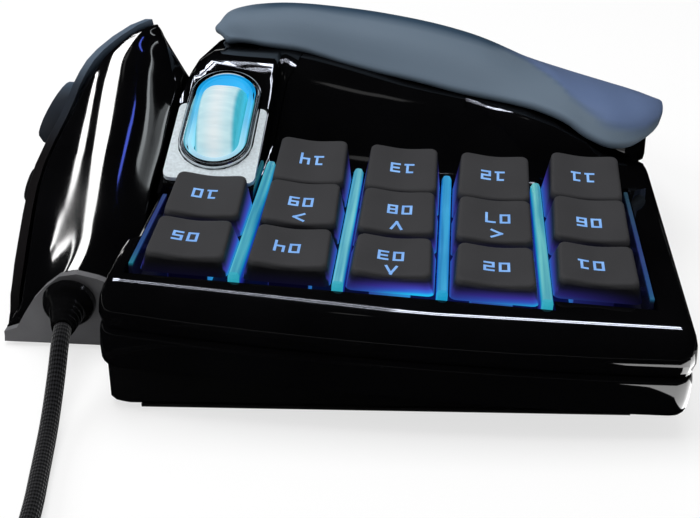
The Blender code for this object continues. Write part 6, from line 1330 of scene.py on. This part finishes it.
def rounded_shell(grid, thick):
    """A wall of even thickness under a grid: the grid, its copy moved in along the normals, and a half circle
    of places round the rim that joins them. Gives the places, the faces and, for each place of the rim's
    circles, the grid place that it starts from."""
    normal = np.cross(np.gradient(grid, axis=0), np.gradient(grid, axis=1))
    normal /= np.linalg.norm(normal, axis=2)[:, :, None]
    columns, rows = grid.shape[:2]
    across, along = np.arange(columns - 1), np.arange(rows - 1)
    i = np.concatenate((across, np.full(rows - 1, columns - 1), across[::-1] + 1, np.zeros(rows - 1, int)))
    j = np.concatenate((np.zeros(columns - 1, int), along, np.full(columns - 1, rows - 1), along[::-1] + 1))
    edge = grid[i, j]
    inside = grid[np.clip(i, 1, columns - 2), np.clip(j, 1, rows - 2)]
    facing = normal[i, j]
    out = edge - inside
    out -= facing * np.sum(out * facing, axis=1)[:, None]
    out /= np.linalg.norm(out, axis=1)[:, None]
    radius = 0.5 * thick
    top = grid.copy()
    top[i, j] = edge - out * radius
    low = top - normal * thick
    centre = edge - out * radius - facing * radius
    rim = np.array([centre + radius * (math.sin(turn) * out + math.cos(turn) * facing)
                    for turn in np.linspace(0.0, math.pi, 9)[1:-1]])
    points = np.concatenate((top.reshape(-1, 3), low.reshape(-1, 3), rim.reshape(-1, 3)))
    base = columns * rows
    faces = grid_faces(columns, rows)
    faces += [[d, c, b, a] for a, b, c, d in grid_faces(columns, rows, first=base)]
    upper = i * rows + j
    circles = 2 * base + np.arange(rim.shape[0] * rim.shape[1]).reshape(rim.shape[:2])
    stack = np.concatenate((upper[None], circles, (upper + base)[None]))
    after = np.roll(stack, -1, axis=1)
    quads = np.stack((stack[:-1], after[:-1], after[1:], stack[1:]), axis=-1)
    faces += quads.reshape(-1, 4).tolist()
    return points, faces, np.tile(upper, len(rim))


def rest_painted_shading(columns, rows, colours):
    """The palm rest's painted light and shade at each place of its grid: the lip's painted sheen on its side
    of the crease, the top's painted shade past it, and the lobe's painted light past it towards the little
    finger."""
    i, j = np.arange(columns)[:, None], np.arange(rows)[None, :]
    crease = np.interp(i, CREASE_COLUMNS, CREASE_ROWS)
    past = np.clip((j - crease) / 1.6 + 0.5, 0.0, 1.0) * np.clip((i - 5) / 8.0, 0.0, 1.0)
    past = past[..., None]
    lobe = np.clip((i[..., None] - 58) / 8.0, 0.0, 1.0) * past
    lip, top, far = (np.array(colour) for colour in (colours.rest_lip_sheen, colours.rest_top_shade, colours.rest_lobe_light))
    return ((lip * (1.0 - past) + top * past) * (1.0 - lobe) + far * lobe).reshape(-1, 3)


class KEYPAD_OT_palm_rest(bpy.types.Operator):
    """Make the palm rest's soft touch shell and dress its frame, rails and feet"""

    bl_idname = "keypad.palm_rest"
    bl_label = "Palm rest"

    def execute(self, context):
        points, faces, rim = rounded_shell(rest_surface(*REST_GRID), REST_THICK)
        pad = make_piece("palm_rest_soft_shell", points + PLAN, faces, finish("soft_touch_blue_grey"), 60.0)
        # Painted light and shade: sheen along the lip, shade on the top, light on the lobe
        tone = rest_painted_shading(*REST_GRID, context.scene.keypad_colours)
        shown = np.concatenate((tone, tone, tone[rim]))
        paint = pad.data.color_attributes.new("PaintedShading", "FLOAT_COLOR", "POINT")
        paint.data.foreach_set("color", np.concatenate((shown, np.ones((len(shown), 1))), axis=1).ravel())
        stand_for(pad, "palm_rest_pad", slot="soft_blue_grey")
        dress({
            "gloss_black_abs": ["palm_rest_frame"], "black_acetal": ["palm_rail_left", "palm_rail_right"],
            "moulded_rubber": ["palm_rest_foot_left", "palm_rest_foot_right"]})
        return {"FINISHED"}


def background_ray(tree):
    """1 where the camera, a mirror or clear plastic looks at it, 0 for its light on the object."""
    path = add(tree, "ShaderNodeLightPath")
    seen = path.outputs["Is Camera Ray"]
    for kind in ("Is Glossy Ray", "Is Transmission Ray"):
        seen = add(tree, "ShaderNodeMath", {"operation": "MAXIMUM"}, {
            0: seen, 1: path.outputs[kind]}).outputs[0]
    return seen


def area_light(name, place, aim, size, power):
    """A rectangular soft light that looks at a point, too plain for gloss to mirror. power is in watts."""
    data = bpy.data.lights.new(name, "AREA")
    data.shape = "RECTANGLE"
    data.size, data.size_y = size
    data.energy = power
    light = bpy.data.objects.new(name, data)
    bpy.context.scene.collection.objects.link(light)
    light.location = place
    light.rotation_mode = "QUATERNION"
    light.rotation_quaternion = (Vector(aim) - Vector(place)).to_track_quat("-Z", "Y")
    light.visible_camera = False
    light.visible_glossy = False
    return light


def mirrored_only(card):
    """A card of the stage that only gloss sees: it lights nothing and throws no shadow."""
    card.visible_camera = False
    card.visible_diffuse = False
    card.visible_shadow = False
    card.visible_transmission = False


def glow_card(name, edges, height, colour, strength, seen_by):
    """A bright card, flat at a height, between two edges, which only the named pieces mirror."""
    count = len(edges)
    sides = [np.column_stack((np.array(edges)[:, k:k + 2], np.full(count, height))) for k in (0, 2)]
    faces = [[k, k + 1, count + k + 1, count + k] for k in range(count - 1)]
    material = bpy.data.materials.new(name)
    material.use_nodes = True
    tree = material.node_tree
    tree.nodes.clear()
    glow = add(tree, "ShaderNodeEmission", None, {"Color": (*linear(colour), 1.0), "Strength": strength})
    out = add(tree, "ShaderNodeOutputMaterial")
    tree.links.new(glow.outputs[0], out.inputs["Surface"])
    card = make_piece(name, np.concatenate(sides), faces, material, turn_out=False)
    mirrored_only(card)
    group = bpy.data.collections.new(name)
    for piece in seen_by:
        group.objects.link(bpy.data.objects[piece])
    card.light_linking.receiver_collection = group


def studio_world(ambient):
    """Plain light from all round, and pale where the camera or a mirror looks past the object."""
    world = bpy.data.worlds.new("studio_world")
    world.use_nodes = True
    tree = world.node_tree
    tree.nodes.clear()
    light = add(tree, "ShaderNodeBackground", None, {"Color": (1, 1, 1, 1), "Strength": ambient})
    pale = add(tree, "ShaderNodeBackground", None, {"Color": (1, 1, 1, 1), "Strength": 1.0})
    mixed = add(tree, "ShaderNodeMixShader", None, {
        "Fac": background_ray(tree), 1: light.outputs[0], 2: pale.outputs[0]})
    out = add(tree, "ShaderNodeOutputWorld")
    tree.links.new(mixed.outputs[0], out.inputs["Surface"])
    return world


def studio_floor():
    """A matte white floor that keeps its shadows, lifted by 0.7 towards white where it is looked at."""
    half = 3.0
    corners = np.array(((-half, -half, 0.0), (half, -half, 0.0), (half, half, 0.0), (-half, half, 0.0)))
    material, tree, shader = begin("matte_white_floor", Base_Color=(0.93, 0.93, 0.93, 1.0), Roughness=0.95)
    shader.inputs["Specular IOR Level"].default_value = 0.0
    glow = add(tree, "ShaderNodeEmission", None, {"Color": (1, 1, 1, 1), "Strength": 1.0})
    share = add(tree, "ShaderNodeMath", {"operation": "MULTIPLY"}, {0: background_ray(tree), 1: 0.7})
    mixed = add(tree, "ShaderNodeMixShader", None, {
        "Fac": share.outputs[0], 1: shader.outputs[0], 2: glow.outputs[0]})
    tree.links.new(mixed.outputs[0], tree.nodes["Material Output"].inputs["Surface"])
    make_piece("floor", corners, [[0, 1, 2, 3]], material, turn_out=False)


def velvet():
    """Black velvet that gloss mirrors in place of the pale background: a tent over the object, and three
    sheets on the floor that leave an opening at the right."""
    black, _, shader = begin("black_velvet", Base_Color=(0.0, 0.0, 0.0, 1.0), Roughness=1.0)
    shader.inputs["Specular IOR Level"].default_value = 0.0
    turn = np.arange(48) * TURN / 48
    tent = np.array([np.stack((r * np.cos(turn), r * np.sin(turn), np.full(48, z)), axis=-1)
                     for r, z in ((1.6, 0.0), (1.6, 1.2), (1.3, 1.7), (0.7, 1.95), (0.05, 2.0))])
    mirrored_only(make_piece("velvet_tent", tent, grid_faces(5, 48, around=True), black, turn_out=False))
    left, far = VELVET_REACH
    front, rear = OPENING_DEPTH
    sheets = [((x, y), (wide, y), (wide, deep), (x, deep)) for x, y, wide, deep in (
        (left, -far, OPENING_LEFT, far), (OPENING_LEFT, rear, far, far), (OPENING_LEFT, -far, far, front))]
    places = np.array(sheets).reshape(-1, 2)
    places = np.column_stack((places, np.full(len(places), 0.2 * MM)))
    faces = np.arange(len(places)).reshape(-1, 4).tolist()
    mirrored_only(make_piece("velvet_card", places, faces, black, turn_out=False))


class KEYPAD_OT_stage(bpy.types.Operator):
    """Set up the pale floor, the world and the studio lights"""

    bl_idname = "keypad.stage"
    bl_label = "Studio"

    def execute(self, context):
        studio = context.scene.keypad_studio
        context.scene.world = studio_world(studio.ambient)
        studio_floor()
        velvet()
        area_light("softbox_overhead", (-0.1, 0.0, 0.95), ORIGIN, (0.7, 0.6), studio.softbox)
        area_light("softbox_side", (-0.8, -0.1, 0.5), (-0.06, -0.03, 0.03), (0.5, 0.4), 0.55 * studio.softbox)
        for name, edges, height, colour, share, seen_by in CARDS:
            glow_card(name, edges, height, colour, share * studio.strip, seen_by)
        context.scene.view_settings.view_transform = "Standard"
        return {"FINISHED"}


class KEYPAD_PT_panel(bpy.types.Panel):
    """Lists the keypad's settings and its pieces"""

    bl_idname = "KEYPAD_PT_panel"
    bl_label = "Gaming Keypad"
    bl_space_type = "VIEW_3D"
    bl_region_type = "UI"
    bl_category = "Keypad"

    def draw(self, context):
        layout = self.layout
        for group in (context.scene.keypad_sizes, context.scene.keypad_colours, context.scene.keypad_studio):
            for name in group.bl_rna.properties.keys():
                if name not in ("rna_type", "name"):
                    layout.prop(group, name)
        for operator in STEPS:
            layout.operator(operator.bl_idname)


STEPS = (
    KEYPAD_OT_camera, KEYPAD_OT_lead, KEYPAD_OT_keys, KEYPAD_OT_legends, KEYPAD_OT_shells, KEYPAD_OT_wheel,
    KEYPAD_OT_wing, KEYPAD_OT_palm_rest, KEYPAD_OT_stage)
GROUPS = (("keypad_sizes", KeypadSizes), ("keypad_colours", KeypadColours), ("keypad_studio", KeypadStudio))


def register():
    """Add the classes, and the settings to the scene."""
    for name, group in GROUPS:
        bpy.utils.register_class(group)
        setattr(bpy.types.Scene, name, bpy.props.PointerProperty(type=group))
    for kind in (*STEPS, KEYPAD_PT_panel):
        bpy.utils.register_class(kind)


def unregister():
    """Take the classes and settings away again."""
    for kind in (KEYPAD_PT_panel, *reversed(STEPS)):
        bpy.utils.unregister_class(kind)
    for name, group in reversed(GROUPS):
        delattr(bpy.types.Scene, name)
        bpy.utils.unregister_class(group)


def main():
    register()
    bpy.ops.keypad.camera()
    bpy.ops.keypad.lead()
    bpy.ops.keypad.keys()
    bpy.ops.keypad.legends()
    bpy.ops.keypad.shells()
    bpy.ops.keypad.wheel()
    bpy.ops.keypad.wing()
    bpy.ops.keypad.palm_rest()
    bpy.ops.keypad.stage()
    bpy.context.view_layer.update()


if __name__ == "__main__":
    main()
